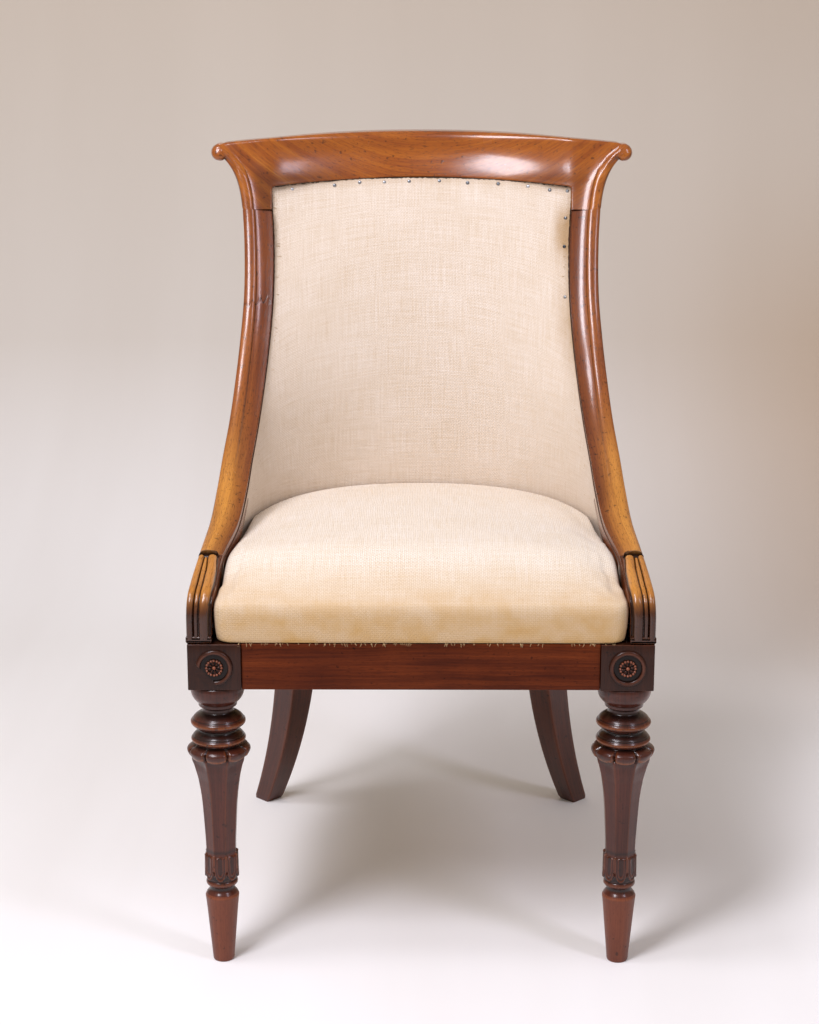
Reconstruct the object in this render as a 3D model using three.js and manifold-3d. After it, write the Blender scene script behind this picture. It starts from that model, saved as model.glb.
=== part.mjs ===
// A low-sided mahogany side chair with sabre back legs, turned front legs and a sprung seat,
// shown in its hessian before the top cover goes on.
// Millimetres, +X to the right as the chair is seen from the front, +Y to the back, +Z up.
// While it is drawn, Y = 0 is the plane through the two front legs' axes.
import * as THREE from 'three';
import { mergeVertices } from 'three/addons/utils/BufferGeometryUtils.js';
import Module from 'manifold-3d';

const wasm = await Module();
wasm.setup();

// Driving sizes of the frame
const fit_gap = 0.3;
const overrun = 6;
const leg_spacing = 454.6;
const leg_height = 336;
const block_side = 59;
const block_height = 53;
const rail_top = leg_height + block_height;
const rail_setback = 3;
const front_rail_thickness = 25;
const side_rail_thickness = 36;
const back_rail_thickness = 30;
const tenon_length = 18;
const tenon_thickness = 10;
const tenon_shoulder = 8;
const block_arris = 1.2;
const block_x = leg_spacing / 2;
const block_inner = block_x - block_side / 2;
const block_outer = block_x + block_side / 2;
const frame_depth = 470;

// Driving sizes of the crest rail, in front view and in plan
const crest_rise = 464.9;
const crest_depth = 57.7;
const crest_arch = 8.6;
const crest_fall = 12.4;
const crest_opening_inset = 37.3;
const crest_bow = 48;
const crest_ease_share = 0.12;
const crest_thickness = 35;
const crest_end_thickness = 29;
const crest_hollow = 3;
const crest_roll = 9;
const volute_outset = 30.5;
const volute_drop = 11.3;
const volute_radius = 10.6;
const volute_length = 34;
const volute_proud = 5;
const flare_bead_radius = 7.6;
const crest_under_middle = rail_top + crest_rise;
const crest_under_corner = crest_under_middle - crest_arch;
const crest_top_middle = crest_under_middle + crest_depth;
const crest_top_end = crest_top_middle - crest_fall;
const crest_half_opening = block_x - crest_opening_inset;
const volute_x = block_x + volute_outset;
const volute_z = crest_top_end - volute_drop;

// Driving sizes of the sweeping stile, as its side profile above the rails and its outer edge
const sweep_start_rise = 59;
const sweep_low_pull_rise = 116;
const sweep_low_pull_y = 220;
const sweep_high_pull_rise = 211;
const sweep_high_pull_setback = 85;
const sweep_end_setback = 18;
const sweep_end_drop = 3.9;
const sweep_start = { y: 0, z: rail_top + sweep_start_rise };
const sweep_low_pull = { y: sweep_low_pull_y, z: rail_top + sweep_low_pull_rise };
const sweep_high_pull = { y: frame_depth - sweep_high_pull_setback, z: rail_top + sweep_high_pull_rise };
const sweep_end = { y: frame_depth - sweep_end_setback, z: crest_under_middle - sweep_end_drop };
const stile_depth = 30;
const stile_widths = [30.4, 27, 32.6, 34.6, 35, 35.2, 35.8, 36.2, 36.2, 36.6, 37];
const stile_bead_rise = 3.4;
const stile_hollow = 1.6;
const stile_outsets = [27.9, 23.5, 17.3, 14.5, 11.9, 7.5, 3.7, -0.1, -3.1, -2.1, 2.1];
const stile_half_widths = stile_outsets.map((outset) => block_x + outset);
const joint_share = 0.955;

// Driving sizes of the carved terminal at the stile's foot
const terminal_width = 30;
const terminal_setback = 0.2;
const terminal_face = 26.2;
const knee_bottom_rise = 29;
const knee_pull_bottom_rise = 51;
const knee_pull_top_rise = 55;
const knee_pull_top_reach = 15;
const terminal_outer = block_outer - terminal_setback;
const knee_bottom = rail_top + knee_bottom_rise;
const knee_pull_bottom = rail_top + knee_pull_bottom_rise;
const knee_pull_top = { y: -knee_pull_top_reach, z: rail_top + knee_pull_top_rise };
const plinth_height = 9.4;
const plinth_margin = 1.6;
const plinth_depth = 52;
const heel_share = 0.1;
const heel_inset = 2;
const reed_rise = 3.2;
const cuff_rise = 1.8;
const cuff_share = 0.11;
const cuff_half_share = 0.008;
const reed_edge_shares = [0, 0.3, 0.52, 0.84, 1];

// Driving sizes of the back legs
const back_leg_inset = 60.3;
const back_leg_setback = 42;
const back_leg_side = 38;
const back_foot_side = 27.5;
const back_leg_splay = 40;
const back_leg_rake = 58;
const back_leg_x = block_x - back_leg_inset;
const back_leg_y = frame_depth - back_leg_setback;
const back_foot_x = back_leg_x + back_leg_splay;
const back_foot_y = back_leg_y + back_leg_rake;
const back_leg_turn = Math.atan2(back_leg_rake, back_leg_splay);
const sabre_power = 1.5;

// Driving sizes of the upholstery
const hessian_thickness = 1.4;
const seat_front_reach = 27.5;
const seat_inset = 8.7;
const seat_bulge = 5.5;
const seat_front_rise = 49;
const seat_back_rise = 77;
const seat_crown = 12;
const seat_rise_length = 110;
const spring_deck_rise = 41;
const back_pad_thickness = 19;
const back_pad_edge = 2.2;
const back_pad_inset = 3;
const back_pad_depth = 13;
const inside_setback = 45;
const inside_hollow = 16;
const inside_top_lap = 1;
const outside_top_lap = 2;
const web_width = 50;
const web_thickness = 1.5;
const inside_bottom_y = frame_depth - inside_setback;
const inside_seat_y = inside_bottom_y - inside_hollow;
const inside_top_y = sweep_end.y + crest_bow - inside_top_lap;
const outside_top_y = sweep_end.y + crest_bow + crest_thickness - outside_top_lap;
const seat_front_y = -seat_front_reach;
const seat_front_half = block_x - seat_inset;
const seat_back_y = inside_bottom_y;
const seat_shoulder_front = rail_top + seat_front_rise;
const seat_shoulder_back = rail_top + seat_back_rise;
const spring_deck_middle = rail_top + spring_deck_rise;

const finishes = {
  crest: { color: 0x9a5424, roughness: 0.22, metalness: 0 },
  stile: { color: 0x9c5a26, roughness: 0.24, metalness: 0 },
  leg: { color: 0x4b2a20, roughness: 0.3, metalness: 0 },
  rail: { color: 0x522619, roughness: 0.32, metalness: 0 },
  beech: { color: 0xb98f5e, roughness: 0.7, metalness: 0 },
  hessian: { color: 0xe2c8a2, roughness: 0.95, metalness: 0 },
  lining: { color: 0xc9ab80, roughness: 0.95, metalness: 0 },
  stuffing: { color: 0x8d7350, roughness: 1, metalness: 0 },
  webbing: { color: 0xb59566, roughness: 0.95, metalness: 0 },
  spring: { color: 0x8c8178, roughness: 0.4, metalness: 0.9 },
};

const chair = new THREE.Group();
const sides = [['left', -1], ['right', 1]];

// A solid as a mesh of the chair, under its name and with its finish.
function place(name, geometry, finish) {
  const body = new THREE.Mesh(geometry, new THREE.MeshStandardMaterial(finishes[finish]));
  body.name = name;
  chair.add(body);
  return body;
}

function signedVolume(geometry) {
  const points = geometry.attributes.position;
  const [a, b, c] = [new THREE.Vector3(), new THREE.Vector3(), new THREE.Vector3()];
  let sum = 0;
  for (let i = 0; i < geometry.index.count; i += 3) {
    a.fromBufferAttribute(points, geometry.index.getX(i));
    b.fromBufferAttribute(points, geometry.index.getX(i + 1));
    c.fromBufferAttribute(points, geometry.index.getX(i + 2));
    sum += a.dot(b.cross(c));
  }
  return sum / 6;
}

// The geometry with shared corners and its faces pointing out.
function closed(source) {
  const bare = source.clone();
  bare.deleteAttribute('normal');
  bare.deleteAttribute('uv');
  const geometry = mergeVertices(bare);
  if (signedVolume(geometry) < 0) {
    const index = Array.from(geometry.index.array);
    for (let i = 0; i < index.length; i += 3) {
      [index[i], index[i + 1]] = [index[i + 1], index[i]];
    }
    geometry.setIndex(index);
  }
  return geometry;
}

function solid(source) {
  const geometry = closed(source);
  return new wasm.Manifold(new wasm.Mesh({
    numProp: 3,
    vertProperties: new Float32Array(geometry.attributes.position.array),
    triVerts: new Uint32Array(geometry.index.array),
  }));
}

function geometryOf(body) {
  const mesh = body.getMesh();
  const geometry = new THREE.BufferGeometry();
  geometry.setAttribute('position', new THREE.BufferAttribute(new Float32Array(mesh.vertProperties), 3));
  geometry.setIndex(new THREE.BufferAttribute(new Uint32Array(mesh.triVerts), 1));
  return geometry;
}

// A solid drawn on the chair's right is turned into its twin on the left.
function handed(geometry, side) {
  if (side > 0) return geometry;
  return closed(geometry.clone().scale(-1, 1, 1));
}

function box(x0, x1, y0, y1, z0, z1) {
  const shape = new THREE.BoxGeometry(x1 - x0, y1 - y0, z1 - z0);
  return shape.translate((x0 + x1) / 2, (y0 + y1) / 2, (z0 + z1) / 2);
}

function mix(a, b, share) {
  return a + (b - a) * share;
}

function smooth(share) {
  const s = Math.min(Math.max(share, 0), 1);
  return s * s * (3 - 2 * s);
}

// A value read off a row of evenly spaced values, with a smooth curve through them.
function along(values, share) {
  const s = Math.min(Math.max(share, 0), 1) * (values.length - 1);
  const i = Math.min(Math.floor(s), values.length - 2);
  const f = s - i;
  const p0 = values[Math.max(i - 1, 0)];
  const p1 = values[i];
  const p2 = values[i + 1];
  const p3 = values[Math.min(i + 2, values.length - 1)];
  const bend = (2 * p0 - 5 * p1 + 4 * p2 - p3) * f * f + (3 * p1 - p0 - 3 * p2 + p3) * f * f * f;
  return (2 * p1 + (p2 - p0) * f + bend) / 2;
}

// A closed solid through a row of loops with as many points each, capped by a fan at both ends.
// The strips from one number up to another are split the other way, so that the inside of a
// skin, which runs backwards, has the same facets as its outside.
function loft(loops, turned_strips = [0, 0]) {
  const count = loops[0].length;
  const points = loops.flat();
  const index = [];
  for (let i = 0; i < loops.length - 1; i++) {
    for (let j = 0; j < count; j++) {
      const k = (j + 1) % count;
      const [a, b, c, d] = [i * count + j, i * count + k, (i + 1) * count + k, (i + 1) * count + j];
      if (i < turned_strips[0] || i >= turned_strips[1]) index.push(a, b, c, a, c, d);
      else index.push(a, b, d, b, c, d);
    }
  }
  for (const [i, turn] of [[0, 1], [loops.length - 1, -1]]) {
    const hub = new THREE.Vector3();
    loops[i].forEach((point) => hub.addScaledVector(point, 1 / count));
    points.push(hub);
    for (let j = 0; j < count; j++) {
      const pair = [i * count + j, i * count + ((j + 1) % count)];
      if (turn > 0) pair.reverse();
      index.push(pair[0], pair[1], points.length - 1);
    }
  }
  const geometry = new THREE.BufferGeometry().setFromPoints(points);
  geometry.setIndex(index);
  return closed(geometry);
}

// A closed slab between two grids of points with the same rows and columns, and like facets.
function slab(front, back) {
  const [rows, columns] = [front.length, front[0].length];
  const points = [...front.flat(), ...back.flat()];
  const behind = rows * columns;
  const index = [];
  const quad = (a, b, c, d) => index.push(a, b, c, a, c, d);
  for (let i = 0; i < rows - 1; i++) {
    for (let j = 0; j < columns - 1; j++) {
      const a = i * columns + j;
      const [b, c, d] = [a + 1, a + columns + 1, a + columns];
      quad(a, b, c, d);
      index.push(behind + a, behind + c, behind + b, behind + a, behind + d, behind + c);
    }
  }
  const wall = (a, b) => quad(b, a, behind + a, behind + b);
  for (let j = 0; j < columns - 1; j++) {
    wall(j, j + 1);
    wall((rows - 1) * columns + j + 1, (rows - 1) * columns + j);
  }
  for (let i = 0; i < rows - 1; i++) {
    wall((i + 1) * columns, i * columns);
    wall(i * columns + columns - 1, (i + 1) * columns + columns - 1);
  }
  const geometry = new THREE.BufferGeometry().setFromPoints(points);
  geometry.setIndex(index);
  return closed(geometry);
}

// The stile's front face in side view, from the plinth over the knee and up to the crest.
const knee_curve = new THREE.CubicBezierCurve(
  new THREE.Vector2(-terminal_face, knee_bottom),
  new THREE.Vector2(-terminal_face, knee_pull_bottom),
  new THREE.Vector2(knee_pull_top.y, knee_pull_top.z),
  new THREE.Vector2(sweep_start.y, sweep_start.z),
);
const sweep_curve = new THREE.CubicBezierCurve(
  new THREE.Vector2(sweep_start.y, sweep_start.z),
  new THREE.Vector2(sweep_low_pull.y, sweep_low_pull.z),
  new THREE.Vector2(sweep_high_pull.y, sweep_high_pull.z),
  new THREE.Vector2(sweep_end.y, sweep_end.z),
);

// A point under the stile's face: how far along the sweep, how deep below the face.
function sweepPoint(share, depth) {
  const point = sweep_curve.getPoint(share);
  const tangent = sweep_curve.getTangent(share);
  return { y: point.x + tangent.y * depth, z: point.y - tangent.x * depth };
}

function stileOuter(share) {
  return along(stile_half_widths, share);
}

function stileInner(share) {
  return stileOuter(share) - along(stile_widths, share);
}

// The face of the stile across its width: a round bead outside and a hollow inside.
function stileFace(share) {
  const bead_share = 0.42;
  if (share < bead_share) {
    return stile_bead_rise * Math.sqrt(Math.max(1 - (2 * share / bead_share - 1) ** 2, 0));
  }
  return -stile_hollow * Math.sin(Math.PI * (share - bead_share) / (1 - bead_share));
}

// The face of the terminal across its width: two broad reeds, a thin one between and a flat.
function terminalFace(share) {
  const i = Math.max(reed_edge_shares.findIndex((edge) => share <= edge) - 1, 0);
  const width = reed_edge_shares[i + 1] - reed_edge_shares[i];
  const across = 2 * (share - reed_edge_shares[i]) / width - 1;
  return reed_rise * Math.sqrt(Math.max(1 - across * across, 0)) * Math.sqrt(width / reed_edge_shares[1]);
}

const face_shares = reed_edge_shares.slice(1).flatMap((edge, i) => {
  const start = reed_edge_shares[i];
  return [0, 0.12, 0.5, 0.88].map((share) => mix(start, edge, share));
}).concat([1]);
const back_corner_shares = [[1, 0.86], [0.86, 1], [0.14, 1], [0, 0.86]];

// One section of the stile: the face's height comes from a function of the place across it.
function stileSection(outer, width, depth, face, grow) {
  const front = face_shares.map((share) => [outer + grow - share * (width + 2 * grow), face(share) + grow]);
  const back = back_corner_shares.map(([across, down]) => [
    outer + grow - across * (width + 2 * grow), -down * (depth + grow),
  ]);
  return front.concat(back);
}

function placeSection(section, origin, tangent) {
  return section.map(([x, n]) => new THREE.Vector3(x, origin.x - tangent.y * n, origin.y + tangent.x * n));
}

// The stile with its terminal, on the chair's right, optionally grown all round as a cutter.
function stileGeometry(grow) {
  const loops = [];
  const base = rail_top + fit_gap + plinth_height / 2;
  const up = new THREE.Vector2(0, 1);
  for (const z of [base, knee_bottom]) {
    const section = stileSection(terminal_outer, terminal_width, stile_depth, terminalFace, grow);
    loops.push(placeSection(section, new THREE.Vector2(-terminal_face, z), up));
  }
  for (const share of [0.2, 0.4, 0.6, 0.8]) {
    const outer = mix(terminal_outer, stileOuter(0), share);
    const section = stileSection(outer, terminal_width, stile_depth, terminalFace, grow);
    loops.push(placeSection(section, knee_curve.getPoint(share), knee_curve.getTangent(share)));
  }
  const stations = [0, 0.035, 0.07, cuff_share - 1.6 * cuff_half_share, cuff_share - cuff_half_share];
  stations.push(cuff_share + cuff_half_share, cuff_share + 1.6 * cuff_half_share);
  for (let i = 1; i <= 13; i++) stations.push(mix(cuff_share + 2 * cuff_half_share, joint_share, i / 13));
  for (const share of stations) {
    const cuff = Math.abs(share - cuff_share) < 1.01 * cuff_half_share ? cuff_rise : 0;
    const carved = share < cuff_share;
    const face = (across) => (cuff > 0 ? reed_rise : carved ? terminalFace(across) : stileFace(across));
    const outer = stileOuter(share);
    const section = stileSection(outer, outer - stileInner(share), stile_depth, face, grow + cuff / 2);
    loops.push(placeSection(section, sweep_curve.getPoint(share), sweep_curve.getTangent(share)));
  }
  return loft(loops);
}

// Dowels: one between each terminal and its block, one between each stile and the crest.
const dowel_radius = 4.8;
const dowel_length = 36;
const dowel_sides = 12;

function cylinderAlong(radius, start, end, segments) {
  const axis = new THREE.Vector3().subVectors(end, start);
  const shape = new THREE.CylinderGeometry(radius, radius, axis.length(), segments);
  shape.translate(0, axis.length() / 2, 0);
  const turn = new THREE.Quaternion().setFromUnitVectors(new THREE.Vector3(0, 1, 0), axis.normalize());
  shape.applyQuaternion(turn);
  return shape.translate(start.x, start.y, start.z);
}

const joint_point = sweepPoint(joint_share, stile_depth / 2);
const joint_tangent = sweep_curve.getTangent(joint_share);
const joint_x = (stileOuter(joint_share) + stileInner(joint_share)) / 2;
const plinth_x = terminal_outer - terminal_width / 2;

function crestDowel(radius, extra) {
  const reach = dowel_length / 2 + extra;
  const middle = new THREE.Vector3(joint_x, joint_point.y, joint_point.z);
  const half = new THREE.Vector3(0, joint_tangent.x, joint_tangent.y).multiplyScalar(reach);
  return cylinderAlong(radius, middle.clone().sub(half), middle.clone().add(half), dowel_sides);
}

function terminalDowel(radius, extra) {
  const reach = dowel_length / 2 + extra;
  const start = new THREE.Vector3(plinth_x, 0, rail_top - reach);
  const end = new THREE.Vector3(plinth_x, 0, rail_top + reach);
  return cylinderAlong(radius, start, end, dowel_sides);
}

// The heel behind the terminal, a bracket between the plinth and the underside of the sweep.
function heelGeometry(grow) {
  const plinth_back = plinth_depth - block_side / 2;
  const low = rail_top + plinth_height / 2;
  const meet = sweepPoint(heel_share, stile_depth - overrun);
  const under = sweepPoint(heel_share / 2, stile_depth / 2);
  const shape = new THREE.Shape();
  shape.moveTo(-terminal_face + stile_depth / 2, low);
  shape.lineTo(plinth_back + grow, low);
  shape.quadraticCurveTo(plinth_back + grow, under.z - grow, meet.y + grow, meet.z - grow);
  shape.lineTo(under.y, under.z);
  shape.lineTo(-terminal_face + stile_depth / 2, under.z - stile_depth / 2);
  const width = terminal_width - 2 * heel_inset + 2 * grow;
  const heel = new THREE.ExtrudeGeometry(shape, { depth: width, bevelEnabled: false, curveSegments: 5 });
  return heel.rotateX(Math.PI / 2).rotateZ(Math.PI / 2).translate(plinth_x - width / 2, 0, 0);
}

// The whole stile as one solid on the chair's right, optionally grown all round as a cutter.
function stileSolid(grow) {
  const reach = plinth_margin + grow;
  const plinth = box(
    plinth_x - terminal_width / 2 - reach, plinth_x + terminal_width / 2 + reach,
    -terminal_face - reed_rise - grow, plinth_depth - block_side / 2 + grow,
    rail_top + fit_gap - grow, rail_top + plinth_height + grow,
  );
  return solid(stileGeometry(grow)).add(solid(plinth)).add(solid(heelGeometry(grow)));
}

function buildStiles() {
  const blank = stileSolid(0);
  const bored = blank.subtract(solid(terminalDowel(dowel_radius + fit_gap, fit_gap)))
    .subtract(solid(crestDowel(dowel_radius + fit_gap, fit_gap)));
  for (const [word, side] of sides) place(`stile_${word}`, handed(geometryOf(bored), side), 'stile');
  for (const [word, side] of sides) {
    place(`crest_dowel_${word}`, handed(closed(crestDowel(dowel_radius, 0)), side), 'beech');
    place(`terminal_dowel_${word}`, handed(closed(terminalDowel(dowel_radius, 0)), side), 'beech');
  }
}

// The crest's face in side view carries on the stile's lean, hollowed and then rolled back.
function crestFaceY(x, z) {
  const lean = sweep_curve.getTangent(1);
  const edge = sweep_end.y + (z - sweep_end.z) * lean.x / lean.y;
  const bow = 1 - (x / crest_half_opening) ** 2;
  const bowed = crest_bow * (bow + Math.hypot(bow, crest_ease_share)) / 2;
  const up = (z - crest_under_middle) / (crest_top_middle - crest_under_middle);
  const scoop = -crest_hollow * Math.sin(Math.PI * Math.min(Math.max(up, 0), 1)) ** 2;
  const rolled = crest_roll * smooth((up - 0.8) / 0.3) * smooth((up - 0.8) / 0.3);
  const below = z < sweep_end.z ? sweepYAt(z) : edge;
  return below + bowed + scoop + rolled;
}

// The sweep's depth at a height, found by halving the range.
function sweepYAt(z) {
  let [low, high] = [0, 1];
  for (let i = 0; i < 30; i++) {
    const middle = (low + high) / 2;
    if (sweep_curve.getPoint(middle).y < z) low = middle;
    else high = middle;
  }
  return sweep_curve.getPoint(low).x;
}

// The crest is full thickness in the middle and thins towards its ends.
const crest_thinning_share = 0.6;
const crest_thinning_length_share = 0.35;

function crestBackY(x, z) {
  const past = Math.abs(x) / crest_half_opening - crest_thinning_share;
  const outwards = smooth(past / crest_thinning_length_share);
  return crestFaceY(x, z) + mix(crest_thickness, crest_end_thickness, outwards);
}

function crestUnder(x) {
  const share = Math.min(Math.abs(x) / crest_half_opening, 1);
  return mix(crest_under_middle, crest_under_corner, share * share);
}

function crestTop(x) {
  const share = Math.min(Math.abs(x) / volute_x, 1);
  return mix(crest_top_middle, crest_top_end, share ** 2.2);
}

// The crest in front view: an arched bar whose ends flare out over the stiles into round volutes.
function crestOutline(extra) {
  const joint_z = joint_point.z;
  const joint_outer = stileOuter(joint_share);
  const joint_inner = stileInner(joint_share);
  const half = new THREE.Path();
  half.moveTo(0, crestTop(0));
  for (let i = 1; i <= 10; i++) half.lineTo(volute_x * i / 10, crestTop(volute_x * i / 10));
  half.absarc(volute_x, volute_z, volute_radius, Math.PI / 2, -0.7 * Math.PI, true);
  half.bezierCurveTo(
    joint_outer + volute_radius * 1.1, volute_z - volute_radius * 2,
    joint_outer + volute_radius * 0.1, crest_under_corner,
    joint_outer, joint_z - extra,
  );
  half.lineTo(joint_inner, joint_z - extra);
  half.lineTo(joint_inner, crest_under_corner - fit_gap);
  for (let i = 9; i >= 0; i--) half.lineTo(joint_inner * i / 9, crestUnder(joint_inner * i / 9));
  const right = half.getPoints(8);
  const left = right.slice(1, -1).reverse().map((point) => new THREE.Vector2(-point.x, point.y));
  return new THREE.Shape(right.concat(left));
}

function buildCrest() {
  const joint_cut = overrun + stile_depth;
  const outline = new THREE.ExtrudeGeometry(crestOutline(joint_cut), {
    depth: crest_bow + sweep_end.y, bevelEnabled: false, steps: 1,
  }).rotateX(Math.PI / 2).translate(0, sweep_end.y + 2 * crest_bow + crest_thickness, 0);
  const front = [];
  const back = [];
  const reach = volute_x + volute_radius + overrun;
  const low = joint_point.z - joint_cut - overrun;
  const high = crest_top_middle + overrun;
  for (let i = 0; i <= 9; i++) {
    const z = mix(low, high, i / 9);
    const row = [];
    for (let j = 0; j <= 22; j++) row.push(new THREE.Vector3(mix(-reach, reach, j / 22), 0, z));
    front.push(row.map((p) => new THREE.Vector3(p.x, crestFaceY(p.x, z), z)));
    back.push(row.map((p) => new THREE.Vector3(p.x, crestBackY(p.x, z), z)));
  }
  let crest = solid(outline).intersect(solid(slab(front, back)));
  const beads = [];
  const volute_front = crestFaceY(volute_x, volute_z) - volute_proud;
  for (const [, side] of sides) {
    const volute = cylinderAlong(
      volute_radius,
      new THREE.Vector3(side * volute_x, volute_front, volute_z),
      new THREE.Vector3(side * volute_x, volute_front + volute_length, volute_z),
      20,
    );
    crest = crest.add(solid(volute));
    beads.push(solid(handed(flareBead(), side)));
  }
  for (const bead of beads) crest = crest.add(bead);
  const away = 3 * stile_depth;
  const joint_plane = box(-reach, reach, -away, away, -away, fit_gap)
    .rotateX(Math.atan2(joint_tangent.y, joint_tangent.x) - Math.PI / 2)
    .translate(0, joint_point.y, joint_point.z);
  crest = crest.subtract(solid(joint_plane));
  for (const [, side] of sides) {
    crest = crest.subtract(solid(handed(closed(crestDowel(dowel_radius + fit_gap, fit_gap)), side)));
  }
  place('crest_rail', geometryOf(crest), 'crest');
}

// The bead that runs on from the stile along the flare and dies into the volute.
function flareBead() {
  const joint_outer = stileOuter(joint_share);
  const path = new THREE.CubicBezierCurve(
    new THREE.Vector2(joint_outer - flare_bead_radius, joint_point.z - stile_depth / 2),
    new THREE.Vector2(joint_outer - flare_bead_radius, crest_under_corner),
    new THREE.Vector2(joint_outer, volute_z - volute_radius),
    new THREE.Vector2(volute_x - volute_radius / 2, volute_z + volute_radius / 3),
  );
  const loops = [];
  for (let i = 0; i <= 9; i++) {
    const share = i / 9;
    const point = path.getPoint(share);
    const tangent = path.getTangent(share);
    const radius = mix(flare_bead_radius, volute_radius / 2, share * share);
    const centre_y = crestFaceY(point.x, point.y) + radius - stile_bead_rise;
    const loop = [];
    for (let j = 0; j < 10; j++) {
      const angle = 2 * Math.PI * j / 10;
      const across = radius * Math.cos(angle);
      loop.push(new THREE.Vector3(
        point.x + tangent.y * across, centre_y + radius * Math.sin(angle), point.y - tangent.x * across,
      ));
    }
    loops.push(loop);
  }
  return loft(loops);
}

// The front leg's turning from the block down: height above the floor and radius.
const bulb_radius = 29.3;
const neck_radius = 17.6;
const ring_radius = 30.6;
const ring_waist_radius = 23.8;
const collar_apothem = 33.6;
const collar_drop = 78.4;
const collar_height = leg_height - collar_drop;
const collar_thickness = 9;
const collar_scallop = 3.4;
const shaft_top_apothem = 26.3;
const collar_flare = 19.6;
const shaft_top = collar_height - collar_flare;
const shaft_waist_apothem = 18.4;
const shaft_bottom_apothem = 16.4;
const shaft_bottom = 134;
const lotus_radius = 19.8;
const lotus_top = 132.5;
const lotus_bottom = 100.6;
const small_ring_radius = 17.8;
const ankle_radius = 14.4;
const ankle_height = 90;
const foot_top_radius = 18.9;
const foot_top = 80;
const foot_radius = 12;
const turning_sides = 20;
const patera_sides = 16;

function upperTurning() {
  const drop = leg_height - collar_height;
  const row_shares = [
    [0, 0], [1, 0], [1, 0.1], [0.965, 0.2], [0.88, 0.27], [0.77, 0.31], [0.725, 0.33],
    [0.725, 0.345], [0.6, 0.37], [0.6, 0.455], [0.8, 0.485], [0.97, 0.515], [1.04, 0.57],
    [0.97, 0.63], [0.83, 0.675], [0.81, 0.71], [0.83, 0.735], [0.98, 0.775], [1.03, 0.82],
    [1, 0.865], [0.88, 0.895], [0.85, 1.02], [0, 1.02],
  ];
  const profile = row_shares.map(([width_share, drop_share]) => new THREE.Vector2(
    width_share * bulb_radius, leg_height - drop_share * drop + (drop_share === 0 ? overrun : 0),
  ));
  return lathe(profile, turning_sides);
}

function lathe(profile, segments) {
  const shape = new THREE.LatheGeometry(profile, segments);
  return shape.rotateX(Math.PI / 2);
}

function lowerTurning() {
  const collar_span = lotus_top - lotus_bottom;
  const profile = [
    [0, lotus_top + overrun], [shaft_bottom_apothem * 0.8, lotus_top + overrun],
    [shaft_bottom_apothem, lotus_top + fit_gap], [lotus_radius * 0.97, lotus_top],
    [lotus_radius, lotus_top - collar_span * 0.1], [lotus_radius * 0.97, lotus_top - collar_span * 0.55],
    [lotus_radius * 0.92, lotus_bottom + collar_span * 0.1], [lotus_radius * 0.86, lotus_bottom],
    [lotus_radius * 0.82, lotus_bottom - fit_gap], [small_ring_radius, mix(lotus_bottom, ankle_height, 0.3)],
    [small_ring_radius, mix(lotus_bottom, ankle_height, 0.55)],
    [ankle_radius, mix(lotus_bottom, ankle_height, 0.8)],
    [ankle_radius, mix(ankle_height, foot_top, 0.3)], [foot_top_radius * 0.97, foot_top + 2 * fit_gap],
    [foot_top_radius, foot_top - 2 * fit_gap], [mix(foot_top_radius, foot_radius, 0.6), foot_top * 0.4],
    [foot_radius, 0], [0, 0],
  ].map(([radius, z]) => new THREE.Vector2(radius, z));
  return lathe(profile, turning_sides);
}

// One loop of the eight-sided part. Where it is scalloped, its edge dips in between corners.
function octagonLoop(apothem, z, steps, scallop) {
  const loop = [];
  for (let i = 0; i < 8 * steps; i++) {
    const within = (i % steps) / steps;
    const angle = Math.PI / 8 + 2 * Math.PI * i / (8 * steps);
    const flat = apothem / Math.cos(2 * Math.PI * (within - 0.5) / 8);
    const corner = apothem / Math.cos(Math.PI / 8);
    const radius = (within === 0 ? corner : flat) - scallop * Math.sin(Math.PI * within);
    loop.push(new THREE.Vector3(radius * Math.cos(angle), radius * Math.sin(angle), z));
  }
  return loop;
}

function scallopedCollar() {
  const steps = 4;
  return loft([
    octagonLoop(collar_apothem * 0.8, collar_height + fit_gap, steps, 0),
    octagonLoop(collar_apothem, collar_height, steps, collar_scallop),
    octagonLoop(collar_apothem, collar_height - collar_thickness * 0.45, steps, collar_scallop),
    octagonLoop(collar_apothem * 0.93, collar_height - collar_thickness, steps, collar_scallop * 0.6),
    octagonLoop(shaft_top_apothem, shaft_top, steps, 0),
  ]);
}

function octagonShaft() {
  const middle = mix(shaft_top, shaft_bottom, 0.3);
  return loft([
    octagonLoop(shaft_waist_apothem, collar_height - collar_thickness, 1, 0),
    octagonLoop(shaft_top_apothem, shaft_top, 1, 0),
    octagonLoop(mix(shaft_top_apothem, shaft_waist_apothem, 0.5), mix(shaft_top, middle, 0.35), 1, 0),
    octagonLoop(mix(shaft_top_apothem, shaft_waist_apothem, 0.85), middle, 1, 0),
    octagonLoop(shaft_waist_apothem, mix(shaft_top, shaft_bottom, 0.55), 1, 0),
    octagonLoop(shaft_bottom_apothem, lotus_top - overrun, 1, 0),
  ]);
}

// A carved patera with a raised ring, a sunk dish and an eight-petalled flower.
const patera_radius = 19.6;
const patera_back = 4;
const patera_rise = 3;
const patera_dish = 2.2;
const petal_radius = 3.4;
const flower_radius = 6.6;
const patera_height = leg_height + block_height * 0.5;

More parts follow.
